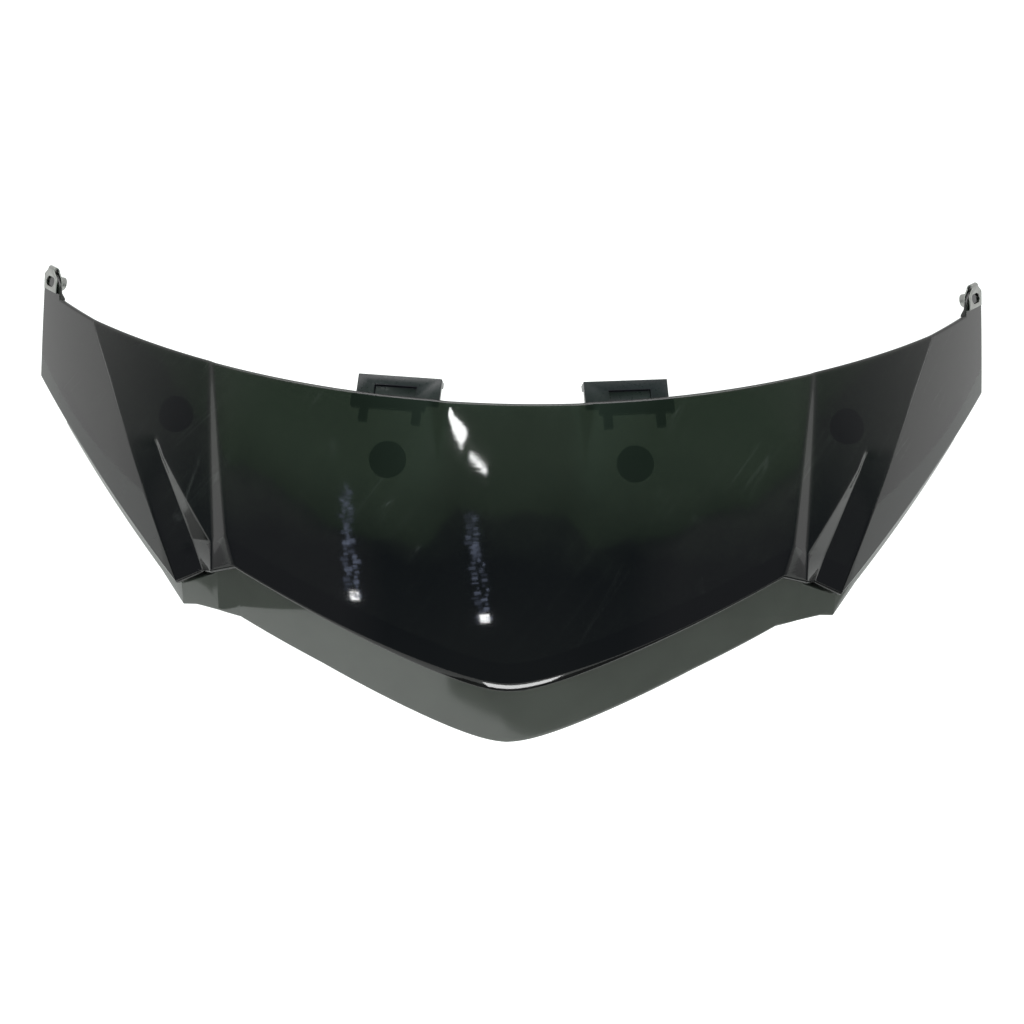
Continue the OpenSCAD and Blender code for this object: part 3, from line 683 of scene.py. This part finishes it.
def surface_group():
    """Shared finish: stretched noise for wipe marks or grain, mottle and sparse fine scratches."""
    name = "Fine surface marks"
    if name in bpy.data.node_groups:
        return bpy.data.node_groups[name]
    group = bpy.data.node_groups.new(name, "ShaderNodeTree")
    face = group.interface
    face.new_socket("Vector", in_out="INPUT", socket_type="NodeSocketVector")
    for label in ("Stretch", "Across", "Scratch scale"):
        face.new_socket(label, in_out="INPUT", socket_type="NodeSocketFloat")
    for label in ("Grain", "Scratches", "Mottle"):
        face.new_socket(label, in_out="OUTPUT", socket_type="NodeSocketFloat")
    enter = group.nodes.new("NodeGroupInput").outputs
    leave = group.nodes.new("NodeGroupOutput").inputs
    across = enter["Across"]
    scale = add(group, "ShaderNodeCombineXYZ", (
        ("X", across), ("Y", across), ("Z", enter["Stretch"])))
    place = add(group, "ShaderNodeVectorMath", (
        (0, enter["Vector"]), (1, scale.outputs[0])), operation="MULTIPLY")
    grain = add(group, "ShaderNodeTexNoise", (("Vector", place.outputs[0]),),
                Scale=1.0, Detail=3.0, Roughness=0.6)
    turned = add(group, "ShaderNodeVectorRotate", (("Vector", enter["Vector"]),),
                 rotation_type="EULER_XYZ", Rotation=SCRATCH_TURN)
    spread = add(group, "ShaderNodeMapping", (("Vector", turned.outputs[0]),),
                 Scale=SCRATCH_STRETCH)
    lines = add(group, "ShaderNodeTexVoronoi", (
        ("Vector", spread.outputs[0]), ("Scale", enter["Scratch scale"])),
        feature="DISTANCE_TO_EDGE")
    thin = ramp(group, lines.outputs["Distance"], 0.0, SCRATCH_WIDTH, 1.0, 0.0)
    patch = add(group, "ShaderNodeTexNoise", (("Vector", enter["Vector"]),), Scale=45.0, Detail=4.0)
    few = ramp(group, patch.outputs[0], *SCRATCH_PATCHES, 0.0, 1.0)
    group.links.new(grain.outputs[0], leave["Grain"])
    group.links.new(compute(group, "MULTIPLY", thin, few), leave["Scratches"])
    group.links.new(patch.outputs[0], leave["Mottle"])
    return group


def marks(tree, stretch, across, scratch_scale):
    """Outputs of the shared marks on Object coordinates."""
    coords = add(tree, "ShaderNodeTexCoord")
    group = add(tree, "ShaderNodeGroup", node_tree=surface_group(),
                Stretch=stretch, Across=across, Scratch_scale=scratch_scale)
    tree.links.new(coords.outputs["Object"], group.inputs["Vector"])
    return group.outputs


def bump(tree, shader, height, strength, distance):
    """Bump of a height on the shader's normal."""
    node = add(tree, "ShaderNodeBump", (("Height", height),), Strength=strength, Distance=distance)
    tree.links.new(node.outputs[0], shader.inputs["Normal"])


def scaled(tone, factor):
    """A colour made lighter or darker."""
    return [c * factor for c in tone]


def finish_of(name, make):
    """A material by name, made once from the scene's colours."""
    if name in bpy.data.materials:
        return bpy.data.materials[name]
    material = bpy.data.materials.new(name)
    make(*node_tree(material), bpy.context.scene.finishes)
    return material


def smoke_acrylic(tree, shader, tint):
    """Polished smoke-tinted acrylic, wiped across and lightly scratched, with painted reflection:
    darker towards the prow and at the sides.
    """
    found = marks(tree, stretch=900.0, across=60.0, scratch_scale=150.0)
    coords = add(tree, "ShaderNodeTexCoord")
    axes = add(tree, "ShaderNodeSeparateXYZ", (("Vector", coords.outputs["Object"]),)).outputs
    # Painted reflection: the tint is darker low down and at the sides, with a wavering edge, in
    # place of the dark surroundings reflected there
    painted_reflection_waver = wander(tree, found["Mottle"], -0.006, 0.006)
    fade = ramp(tree, compute(tree, "ADD", axes["Z"], painted_reflection_waver), *PAINTED_REFLECTION_HEIGHTS, 0.0, 1.0)
    middle = ramp(tree, compute(tree, "ABSOLUTE", axes["X"]), *PAINTED_REFLECTION_WIDTHS, 1.0, PAINTED_REFLECTION_SIDE_CLEARING)
    clear = compute(tree, "MULTIPLY", fade, middle)
    smoke = blend(tree, clear, tint.smoke_painted_reflection_low, tint.smoke_high)
    base = blend(tree, found["Scratches"], smoke, SCRATCH_TONE)
    tree.links.new(base, shader.inputs["Base Color"])
    tree.links.new(wander(tree, found["Mottle"], 0.03, 0.07), shader.inputs["Roughness"])
    bump(tree, shader, found["Grain"], strength=0.1, distance=0.04 * MM)
    shader.inputs["IOR"].default_value = ACRYLIC_IOR
    shader.inputs["Transmission Weight"].default_value = 1.0


def satin_plastic(tree, shader, tint):
    """Satin grey moulding with fine grain and faint scuffs."""
    found = marks(tree, stretch=700.0, across=700.0, scratch_scale=120.0)
    tone = wander(tree, found["Mottle"], 0.0, 1.0)
    base = blend(tree, tone, scaled(tint.satin, 0.9), scaled(tint.satin, 1.1))
    tree.links.new(base, shader.inputs["Base Color"])
    tree.links.new(wander(tree, found["Mottle"], 0.1, 0.13), shader.inputs["Roughness"])
    shader.inputs["Specular IOR Level"].default_value = 0.64
    bump(tree, shader, found["Grain"], strength=0.04, distance=0.03 * MM)


def foam_tape(tree, shader, tint):
    """Black foam bonding strip."""
    found = marks(tree, stretch=1500.0, across=1500.0, scratch_scale=100.0)
    base = blend(tree, wander(tree, found["Grain"], 0.0, 1.0), tint.tape, scaled(tint.tape, 2.2))
    tree.links.new(base, shader.inputs["Base Color"])
    shader.inputs["Roughness"].default_value = 0.85
    bump(tree, shader, found["Grain"], strength=0.5, distance=0.1 * MM)


def clip_plastic(tree, shader, tint):
    """Black moulded plastic of the hook clips, slightly violet, with a fine spark-eroded grain."""
    found = marks(tree, stretch=1100.0, across=1100.0, scratch_scale=220.0)
    tone = ramp(tree, found["Mottle"], 0.35, 0.65, 0.0, 1.0)
    base = blend(tree, tone, tint.clip, scaled(tint.clip, 1.6))
    tree.links.new(base, shader.inputs["Base Color"])
    tree.links.new(wander(tree, found["Grain"], 0.25, 0.4), shader.inputs["Roughness"])
    bump(tree, shader, found["Grain"], strength=0.2, distance=0.04 * MM)


def buffer_rubber(tree, shader, tint):
    """Soft black rubber with a dusty bloom."""
    found = marks(tree, stretch=900.0, across=900.0, scratch_scale=180.0)
    base = blend(tree, wander(tree, found["Mottle"], 0.0, 1.0), tint.rubber, scaled(tint.rubber, 2))
    tree.links.new(base, shader.inputs["Base Color"])
    shader.inputs["Roughness"].default_value = 0.7
    bump(tree, shader, found["Grain"], strength=0.25, distance=0.05 * MM)


def zinc_steel(tree, shader, tint):
    """Zinc-plated spring steel, faintly spangled and brushed."""
    found = marks(tree, stretch=250.0, across=1600.0, scratch_scale=260.0)
    base = blend(tree, wander(tree, found["Mottle"], 0.0, 1.0), scaled(tint.zinc, 0.88), tint.zinc)
    tree.links.new(base, shader.inputs["Base Color"])
    tree.links.new(wander(tree, found["Grain"], 0.3, 0.45), shader.inputs["Roughness"])
    shader.inputs["Metallic"].default_value = 1.0
    bump(tree, shader, found["Grain"], strength=0.2, distance=0.03 * MM)


# Pieces

RING_STEPS = 48
DRILL_REACH = 4 * MM


def mesh_object(name, points, faces):
    """A new object made of points and faces."""
    mesh = bpy.data.meshes.new(name)
    mesh.from_pydata(points, [], faces)
    obj = bpy.data.objects.new(name, mesh)
    bpy.context.scene.collection.objects.link(obj)
    return obj


def apply_modifiers(obj):
    """The object's mesh with its modifiers worked in."""
    graph = bpy.context.evaluated_depsgraph_get()
    graph.update()
    mesh = bpy.data.meshes.new_from_object(obj.evaluated_get(graph))
    obj.modifiers.clear()
    obj.data = mesh


def local_frame(face, side, place, out):
    """A spot on the face in the part's frame, and its axes: across, inward and up."""
    out = out * np.array((side, 1, 1))
    across = unit(np.array((-out[1], out[0], 0.0)))
    up = np.cross(across, -out)
    return place * np.array((side, 1, 1)) + face.shift, across, -out, up


def circle(across, up):
    """Points of a unit circle on two axes."""
    theta = np.linspace(0, 2 * math.pi, RING_STEPS, endpoint=False)[:, None]
    return np.cos(theta) * across + np.sin(theta) * up


class BuildScreen(bpy.types.Operator):
    """Smoked moulding with its relief, rounded rims, ears and ear holes."""

    bl_idname = "windshield.build_screen"
    bl_label = "Screen"

    def execute(self, context):
        face = ScreenFace(context.scene)
        smoke = finish_of("Smoke acrylic", smoke_acrylic)
        points, quads = shell(*screen_layers(face))
        obj = piece("smoked_screen", points, quads, "screen", smoke)
        i = np.arange(RING_STEPS)
        after = np.roll(i, -1)
        walls = np.stack((i, after, after + RING_STEPS, i + RING_STEPS), -1).tolist()
        caps = [i[::-1].tolist(), (i + RING_STEPS).tolist()]
        for side in (-1, 1):
            place, across, inward, up = local_frame(face, side, face.hole, face.ear_out)
            ring = place + face.p.ear_hole_r * circle(across, up)
            ends = np.concatenate((ring - inward * DRILL_REACH, ring + inward * DRILL_REACH))
            drill = mesh_object("drill", ends.tolist(), walls + caps)
            cut = obj.modifiers.new("Ear hole", "BOOLEAN")
            cut.object = drill
            cut.solver = "EXACT"
            apply_modifiers(obj)
            bpy.data.objects.remove(drill)
        obj.data.set_sharp_from_angle(angle=math.radians(50))
        return {"FINISHED"}


class BuildSkirt(bpy.types.Operator):
    """Satin V-shaped skirt and the two bonding strips on its ledge."""

    bl_idname = "windshield.build_skirt"
    bl_label = "Skirt and tapes"

    def execute(self, context):
        face = ScreenFace(context.scene)
        satin = finish_of("Satin plastic", satin_plastic)
        points, quads = shell(*skirt_layers(face))
        piece("satin_skirt", points, quads, "lower_skirt", satin)
        foam = finish_of("Foam tape", foam_tape)
        right = tape_layers(face)
        left = [grid[:, ::-1] * np.array((-1, 1, 1)) for grid in right]
        for name, grids in (("right", right), ("left", left)):
            points, quads = shell(*grids)
            piece(f"{name}_bonding_tape", points, quads, f"{name}_skirt_tape", foam)
        return {"FINISHED"}


def rounded_copy(name, node, material, edge, segments):
    """Merged copy of a node's solid with its edges rounded."""
    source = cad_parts[node]
    obj = bpy.data.objects.new(name, source.data.copy())
    bpy.context.scene.collection.objects.link(obj)
    weld = obj.modifiers.new("Merge", "WELD")
    weld.merge_threshold = 1e-6
    flat = obj.modifiers.new("Flat faces", "DECIMATE")
    flat.decimate_type = "DISSOLVE"
    flat.angle_limit = math.radians(1)
    apply_modifiers(obj)
    bevel = obj.modifiers.new("Edges", "BEVEL")
    bevel.width = edge
    bevel.segments = segments
    bevel.limit_method = "ANGLE"
    bevel.angle_limit = math.radians(40)
    bevel.use_clamp_overlap = True
    apply_modifiers(obj)
    obj.data.shade_smooth()
    obj.data.set_sharp_from_angle(angle=math.radians(35))
    return dress(obj, node, material)


class BuildClips(bpy.types.Operator):
    """Hook clips behind the top edge."""

    bl_idname = "windshield.build_clips"
    bl_label = "Hook clips"

    def execute(self, context):
        black = finish_of("Clip plastic", clip_plastic)
        edge = context.scene.fitting_sizes.clip_edge
        for side in ("left", "right"):
            rounded_copy(f"{side}_clip", f"{side}_hook_clip", black, edge, 3)
        return {"FINISHED"}


class BuildNuts(bpy.types.Operator):
    """Clip nuts bent over the ears."""

    bl_idname = "windshield.build_nuts"
    bl_label = "Clip nuts"

    def execute(self, context):
        zinc = finish_of("Zinc steel", zinc_steel)
        edge = context.scene.fitting_sizes.nut_edge
        for side in ("left", "right"):
            rounded_copy(f"{side}_nut", f"{side}_clip_nut", zinc, edge, 2)
        return {"FINISHED"}


def buffer_profile(f):
    """Half section of a buffer as radii and heights: flat seat, bulged rim, dished rear face."""
    soft = 0.6 * MM
    corner = np.linspace(0, math.pi / 2, 7)
    late, early = soft * (1 - np.sin(corner)), soft * (1 - np.cos(corner))
    taper = np.linspace(0, 1, 6)[1:-1]
    dish = np.linspace(0, 1, 9)
    floor_h = f.buffer_t - f.dimple_depth
    runs = (
        ((0.0, f.buffer_r * 0.5), (0, 0)),
        (f.buffer_r - late, early),
        ((f.buffer_r,), (f.buffer_rim,)),
        (lerp(f.buffer_r, f.buffer_face_r, taper ** 1.4),
         lerp(f.buffer_rim, f.buffer_t - soft, taper)),
        (f.buffer_face_r - early, f.buffer_t - late),
        ((3.6 * MM, 2.4 * MM), (f.buffer_t, f.buffer_t)),
        (lerp(f.dimple_r, f.dimple_floor_r, dish), f.buffer_t - f.dimple_depth * smooth_step(dish)),
        ((0.5 * MM, 0.0), (floor_h, floor_h)),
    )
    return tuple(np.concatenate(column) for column in zip(*runs))


def turned(r, h, place, across, inward, up):
    """Points and faces of a profile turned about the inward axis, closed by a fan at each end."""
    rows = len(r) - 2
    grid = place + r[1:-1, None, None] * circle(across, up) + h[1:-1, None, None] * inward
    poles = place + h[[0, -1], None] * inward
    a = np.arange(rows * RING_STEPS).reshape(rows, RING_STEPS)
    b = np.roll(a, -1, axis=1)
    quads = np.stack((a[:-1], b[:-1], b[1:], a[1:]), -1).reshape(-1, 4).tolist()
    first, last = a.size, a.size + 1
    fans = [(first, q, p) for p, q in zip(a[0].tolist(), b[0].tolist())]
    fans += [(last, p, q) for p, q in zip(a[-1].tolist(), b[-1].tolist())]
    return np.concatenate((grid.reshape(-1, 3), poles)).tolist(), quads + fans


class BuildBuffers(bpy.types.Operator):
    """Rubber buffers on the back of the screen."""

    bl_idname = "windshield.build_buffers"
    bl_label = "Rubber buffers"

    def execute(self, context):
        face = ScreenFace(context.scene)
        f = context.scene.fitting_sizes
        rubber = finish_of("Buffer rubber", buffer_rubber)
        r, h = buffer_profile(f)
        seat = face.p.wall + face.k.seat_gap + f.buffer_r ** 2 / face.p.wrap_radius
        step_back = float(face.side_back(f.side_x, f.side_up))
        for kind, x, z, back, tilt in (
                ("upper", f.upper_x, f.upper_up, 0.0, 0.0),
                ("side", f.side_x, f.side_up, step_back, face.side_slope_z)):
            spot = np.array((x, float(face.base_y(x, z)) + back, z))
            out = out_normal(face.wrap_slope(x), face.rake_slope(z) + tilt)
            for side, name in ((-1, "left"), (1, "right")):
                points, faces = turned(r, seat + h, *local_frame(face, side, spot, out))
                obj = mesh_object(f"{name}_{kind}_rubber", points, faces)
                obj.data.shade_smooth()
                dress(obj, f"{name}_{kind}_buffer", rubber)
        return {"FINISHED"}


# Stage

# The floor, the cards just over it and their outlines from above
FLOOR_Z, CARD_Z = -0.35, -0.348
FLOOR = ((-6, -6), (6, -6), (6, 6), (-6, 6))
APRON = ((-0.35, -1.6), (1.3, -1.6), (1.3, 0.5), (0.5, 0.3), (0.42, -0.1),
         (0.129, -0.267), (-0.04, -0.337), (-0.2, -0.335), (-0.26, -0.5))
SIDE_CARD = ((-1.7, -1.1), (-0.68, -0.8), (-0.68, 0.05), (-1.7, 0.2))
FLOOR_TONE, CARD_TONE = (0.8, 0.8, 0.8), (0.2, 0.2, 0.2)
FLOOR_GLOW = 0.6

# Tones of the surroundings in front of the screen, by height, and of their flanks and crown, with
# the spans that bound them: shares of a unit direction sideways, upward or rearward
BANDS = ((0.0, (0.2, 0.23, 0.25)), (0.3, (0.15, 0.18, 0.21)), (0.465, (0.12, 0.15, 0.18)),
         (0.488, (0.2, 0.3, 0.24)), (0.6, (0.27, 0.41, 0.32)), (0.74, (0.42, 0.67, 0.51)))
FLANK_TONE, CROWN_TONE, WHITE = (0.27, 0.29, 0.32), (0.25, 0.41, 0.3), (1, 1, 1)
DIP_EDGE, DIP = (0.16, 0.25), -0.1
FLANK_INSIDE, FLANK_OUTSIDE, FLANK_TOP = (0.38, 0.52), (0.78, 0.88), (0.44, 0.49)
CROWN_FOOT, CROWN_SIDE, REAR = (0.52, 0.66), (0.22, 0.4), (-0.42, 0.2)

# Soft lamps: place, target, size and power
SOFT_LAMPS = (
    ("left_soft", (-1.4, 0.5, 0.07), (0, 0.5, 0.07), (1.0, 0.8), 1.15),
    ("right_soft", (1.4, 0.5, 0.07), (0, 0.5, 0.07), (1.0, 0.8), 1.15),
    ("top_soft", (0.0, 0.1, 1.6), (0, 0.1, 0.07), (1.6, 1.0), 14),
)
# Slatted lamps: lower end, upper end and seed
SLAT_CARDS = (
    ("left_slats", (-0.617, -1.058, 0.367), (-0.622, -0.837, 0.764), 4),
    ("middle_slats", (-0.092, -1.215, 0.353), (-0.153, -1.009, 0.774), 9),
)
# Their slats: number, tone, place to either side, stray, and spans that widths, heights and glare
# are drawn from, the heights as shares of a step
SLATS, SLAT_TONE = 44, (0.62, 0.72, 1.0)
SLAT_SIDE, SLAT_STRAY = 0.016, 0.006
SLAT_WIDE, SLAT_TALL, SLAT_GLARE = (0.004, 0.017), (0.25, 0.75), (0.6, 4.5)
# Their bright feet: share of the length, width and glare
FOOT_SHARE, FOOT_WIDTH, FOOT_GLARE = 0.08, 0.04, 30.0
# Slim lamps: start, end, width and glare
BAR_LAMPS = (
    ("brow_tube", (-0.33, -1.016, 1.185), (-0.217, -1.107, 1.119), 0.045, 28.0),
    ("brow_spot", (-0.192, -1.132, 1.097), (-0.112, -1.162, 1.073), 0.016, 28.0),
    ("prow_light", (-0.14, -1.22, -0.24), (0.3, -1.2, -0.24), 0.24, 15.0),
)
# Middle of the screen's face, which the slim lamps turn to
SCREEN_MIDDLE = Vector((0, -0.045, 0.06))

# The camera: elevation, turn and roll, its target and distance, and its lens
CAMERA_TILT, CAMERA_TURN, CAMERA_ROLL = (math.radians(v) for v in (19.46, 0.325, 1.15))
CAMERA_TARGET, CAMERA_DISTANCE = Vector((0.0004, -0.04595, 0.07196)), 0.8644
SENSOR_MM, FOCAL_PIXELS, PICTURE_PIXELS = 36, 2850, 1024


def area_lamp(name, matrix, size, power):
    """A rectangular white lamp."""
    data = bpy.data.lights.new(name, "AREA")
    data.shape = "RECTANGLE"
    data.size, data.size_y = size
    data.energy = power
    lamp = bpy.data.objects.new(name, data)
    lamp.matrix_world = matrix
    bpy.context.scene.collection.objects.link(lamp)


def soft_lamp(name, place, target, size, power):
    """A large lamp at a place, facing a target."""
    turn = (Vector(target) - Vector(place)).to_track_quat("-Z", "Y").to_matrix().to_4x4()
    area_lamp(name, Matrix.Translation(place) @ turn, size, power)


def facing(start, end):
    """Axes of a strip from start to end that faces the screen: across, along and away."""
    along = (end - start).normalized()
    away = (start + end) / 2 - SCREEN_MIDDLE
    across = along.cross(away).normalized()
    return across, along, across.cross(along)


def bar_lamp(name, start, end, width, glare):
    """A slim lamp from start to end, facing the screen; glare is its radiance."""
    start, end = Vector(start), Vector(end)
    tall = (end - start).length
    turn = Matrix(facing(start, end)).transposed().to_4x4()
    power = glare * math.pi * width * tall
    area_lamp(name, Matrix.Translation((start + end) / 2) @ turn, (width, tall), power)


def stage_card(name, points, faces, tone):
    """A dull mesh of the stage, with its material's node tree and shader."""
    card = mesh_object(name, points, faces)
    material = bpy.data.materials.new(name)
    tree, shader = node_tree(material)
    shader.inputs["Base Color"].default_value = (*tone, 1)
    shader.inputs["Specular IOR Level"].default_value = 0.0
    card.data.materials.append(material)
    return card, tree, shader


def slat_card(name, low, high, seed):
    """A cool lamp of many short slats, each with its own width, place and glare."""
    rng = np.random.default_rng(seed)
    across, along, _ = (np.array(v) for v in facing(Vector(low), Vector(high)))
    i = np.arange(SLATS)
    f = (i + 0.5) / SLATS
    step = np.linalg.norm(np.subtract(high, low)) / SLATS
    side = np.where(i % 2, 1, -1) * SLAT_SIDE * (1 - 0.4 * f)
    side = side + rng.normal(0, SLAT_STRAY, SLATS)
    half = rng.uniform(*SLAT_WIDE, SLATS)
    tall = step * rng.uniform(*SLAT_TALL, SLATS)
    middle = lerp(np.array(low), np.array(high), f[:, None]) + side[:, None] * across
    corners = np.array(((-1, -1), (1, -1), (1, 1), (-1, 1)))
    wide = corners[:, :1] * half[:, None, None] * across
    points = middle[:, None] + wide + corners[:, 1:] * tall[:, None, None] * along
    faces = np.arange(4 * SLATS).reshape(SLATS, 4)
    glares = rng.uniform(*SLAT_GLARE, SLATS) * (1.15 - 0.5 * f)
    card, tree, shader = stage_card(name, points.reshape(-1, 3).tolist(), faces.tolist(), (0, 0, 0))
    card.visible_camera = False
    glare = card.data.attributes.new("glare", "FLOAT", "FACE")
    glare.data.foreach_set("value", glares.astype(np.float32))
    shader.inputs["Emission Color"].default_value = (*SLAT_TONE, 1)
    value = add(tree, "ShaderNodeAttribute", attribute_name="glare")
    tree.links.new(value.outputs["Fac"], shader.inputs["Emission Strength"])


def flat_card(name, corners, height, tone, glow=0.0):
    """A level card. Its glow is seen directly, in reflections and through glass.

    A card without glow is seen in reflections only.
    """
    points = [(x, y, height) for x, y in corners]
    card, tree, shader = stage_card(name, points, [tuple(range(len(points)))], tone)
    shader.inputs["Roughness"].default_value = 0.9
    if glow:
        path = add(tree, "ShaderNodeLightPath").outputs
        seen = compute(tree, "MAXIMUM", path["Is Camera Ray"], path["Is Transmission Ray"])
        seen = compute(tree, "MAXIMUM", seen, path["Is Glossy Ray"])
        tree.links.new(seen, shader.inputs["Emission Strength"])
        shader.inputs["Emission Color"].default_value = (glow, glow, glow, 1)
    else:
        card.visible_camera = False
        card.visible_transmission = False
        card.visible_diffuse = False
        card.visible_shadow = False


def studio(scene):
    """Surroundings: white behind, to the camera and through glass, with dark bands in front."""
    scene.world = bpy.data.worlds.new("Studio")
    scene.world.use_nodes = True
    tree = scene.world.node_tree
    tree.nodes.clear()
    out = tree.nodes.new("ShaderNodeOutputWorld")
    shade = tree.nodes.new("ShaderNodeBackground")
    tree.links.new(shade.outputs[0], out.inputs[0])
    way = add(tree, "ShaderNodeTexCoord").outputs["Generated"]
    axes = add(tree, "ShaderNodeSeparateXYZ", (("Vector", way),)).outputs
    wave = add(tree, "ShaderNodeTexNoise", (("Vector", way),), Scale=5.0, Detail=3.0)
    swell = wander(tree, wave.outputs[0], -0.03, 0.03)
    beside = compute(tree, "ABSOLUTE", axes["X"])
    dip = ramp(tree, beside, *DIP_EDGE, DIP, 0.0)
    level = compute(tree, "ADD", compute(tree, "ADD", axes["Z"], swell), dip)

    front = add(tree, "ShaderNodeValToRGB", ((0, level),))
    stops = front.color_ramp.elements
    for place, _ in BANDS[1:-1]:
        stops.new(place)
    for stop, (place, tone) in zip(stops, BANDS):
        stop.position = place
        stop.color = (*tone, 1)

    flank = compute(tree, "MULTIPLY", ramp(tree, beside, *FLANK_INSIDE, 0.0, 1.0),
                    ramp(tree, beside, *FLANK_OUTSIDE, 1.0, 0.0))
    flank = compute(tree, "MULTIPLY", flank, ramp(tree, level, *FLANK_TOP, 1.0, 0.0))
    crown = compute(tree, "MULTIPLY", ramp(tree, level, *CROWN_FOOT, 0.0, 1.0),
                    ramp(tree, beside, *CROWN_SIDE, 0.0, 1.0))
    white = ramp(tree, axes["Y"], *REAR, 0.0, 1.0)
    path = add(tree, "ShaderNodeLightPath").outputs
    for ray in ("Is Camera Ray", "Is Transmission Ray"):
        white = compute(tree, "MAXIMUM", white, path[ray])
    whole = front.outputs[0]
    for factor, tone in ((flank, FLANK_TONE), (crown, CROWN_TONE), (white, WHITE)):
        whole = blend(tree, factor, whole, tone)
    tree.links.new(whole, shade.inputs["Color"])


def photo_camera(scene):
    """Camera at the photograph's angle and distance."""
    data = bpy.data.cameras.new("camera")
    data.sensor_width = SENSOR_MM
    data.sensor_fit = "HORIZONTAL"
    data.lens = SENSOR_MM * FOCAL_PIXELS / PICTURE_PIXELS
    data.clip_start = 0.01
    camera = bpy.data.objects.new("camera", data)
    scene.collection.objects.link(camera)
    level = math.cos(CAMERA_TILT)
    look = Vector((
        math.sin(CAMERA_TURN) * level, math.cos(CAMERA_TURN) * level, -math.sin(CAMERA_TILT)))
    right = Vector((math.cos(CAMERA_TURN), -math.sin(CAMERA_TURN), 0))
    up = right.cross(look)
    x_axis = math.cos(CAMERA_ROLL) * right + math.sin(CAMERA_ROLL) * up
    y_axis = -math.sin(CAMERA_ROLL) * right + math.cos(CAMERA_ROLL) * up
    turn = Matrix((x_axis, y_axis, -look)).transposed().to_4x4()
    camera.matrix_world = Matrix.Translation(CAMERA_TARGET - CAMERA_DISTANCE * look) @ turn
    scene.camera = camera


class BuildStage(bpy.types.Operator):
    """Pale floor, dark cards, white surroundings, lamps and the camera at the photo's angle."""

    bl_idname = "windshield.build_stage"
    bl_label = "Stage"

    def execute(self, context):
        flat_card("pale_floor", FLOOR, FLOOR_Z, FLOOR_TONE, FLOOR_GLOW)
        flat_card("dark_apron", APRON, CARD_Z, CARD_TONE)
        flat_card("dark_side", SIDE_CARD, CARD_Z, CARD_TONE)
        studio(context.scene)
        for lamp in SOFT_LAMPS:
            soft_lamp(*lamp)
        for name, low, high, seed in SLAT_CARDS:
            slat_card(name, low, high, seed)
            top = Vector(low).lerp(Vector(high), FOOT_SHARE)
            bar_lamp(f"{name}_foot", low, top, FOOT_WIDTH, FOOT_GLARE)
        for lamp in BAR_LAMPS:
            bar_lamp(*lamp)
        photo_camera(context.scene)
        context.scene.view_settings.view_transform = "Standard"
        return {"FINISHED"}


class WindshieldPanel(bpy.types.Panel):
    """Sizes, colours and build steps in the 3D view's sidebar."""

    bl_idname = "VIEW3D_PT_windshield"
    bl_label = "Windshield screen"
    bl_space_type = "VIEW_3D"
    bl_region_type = "UI"
    bl_category = "Screen"

    def draw(self, context):
        layout = self.layout
        for operator in OPERATORS:
            layout.operator(operator.bl_idname)
        for group in GROUPS:
            box = layout.box()
            box.label(text=group.__doc__)
            values = getattr(context.scene, GROUPS[group])
            for name in group.__annotations__:
                box.prop(values, name)


GROUPS = {
    ScreenSizes: "screen_sizes",
    SkirtSizes: "skirt_sizes",
    FittingSizes: "fitting_sizes",
    Finishes: "finishes",
}
OPERATORS = (BuildScreen, BuildSkirt, BuildClips, BuildBuffers, BuildNuts, BuildStage)


def register():
    """Registers the classes and hangs the property groups on the scene."""
    for cls in (*GROUPS, *OPERATORS, WindshieldPanel):
        bpy.utils.register_class(cls)
    for group, name in GROUPS.items():
        setattr(bpy.types.Scene, name, bpy.props.PointerProperty(type=group))


def unregister():
    """Takes the property groups and classes away again."""
    for name in GROUPS.values():
        delattr(bpy.types.Scene, name)
    for cls in reversed((*GROUPS, *OPERATORS, WindshieldPanel)):
        bpy.utils.unregister_class(cls)


def main():
    """Builds all pieces and the stage."""
    register()
    bpy.ops.windshield.build_screen()
    bpy.ops.windshield.build_skirt()
    bpy.ops.windshield.build_clips()
    bpy.ops.windshield.build_buffers()
    bpy.ops.windshield.build_nuts()
    bpy.ops.windshield.build_stage()


if __name__ == "__main__":
    main()
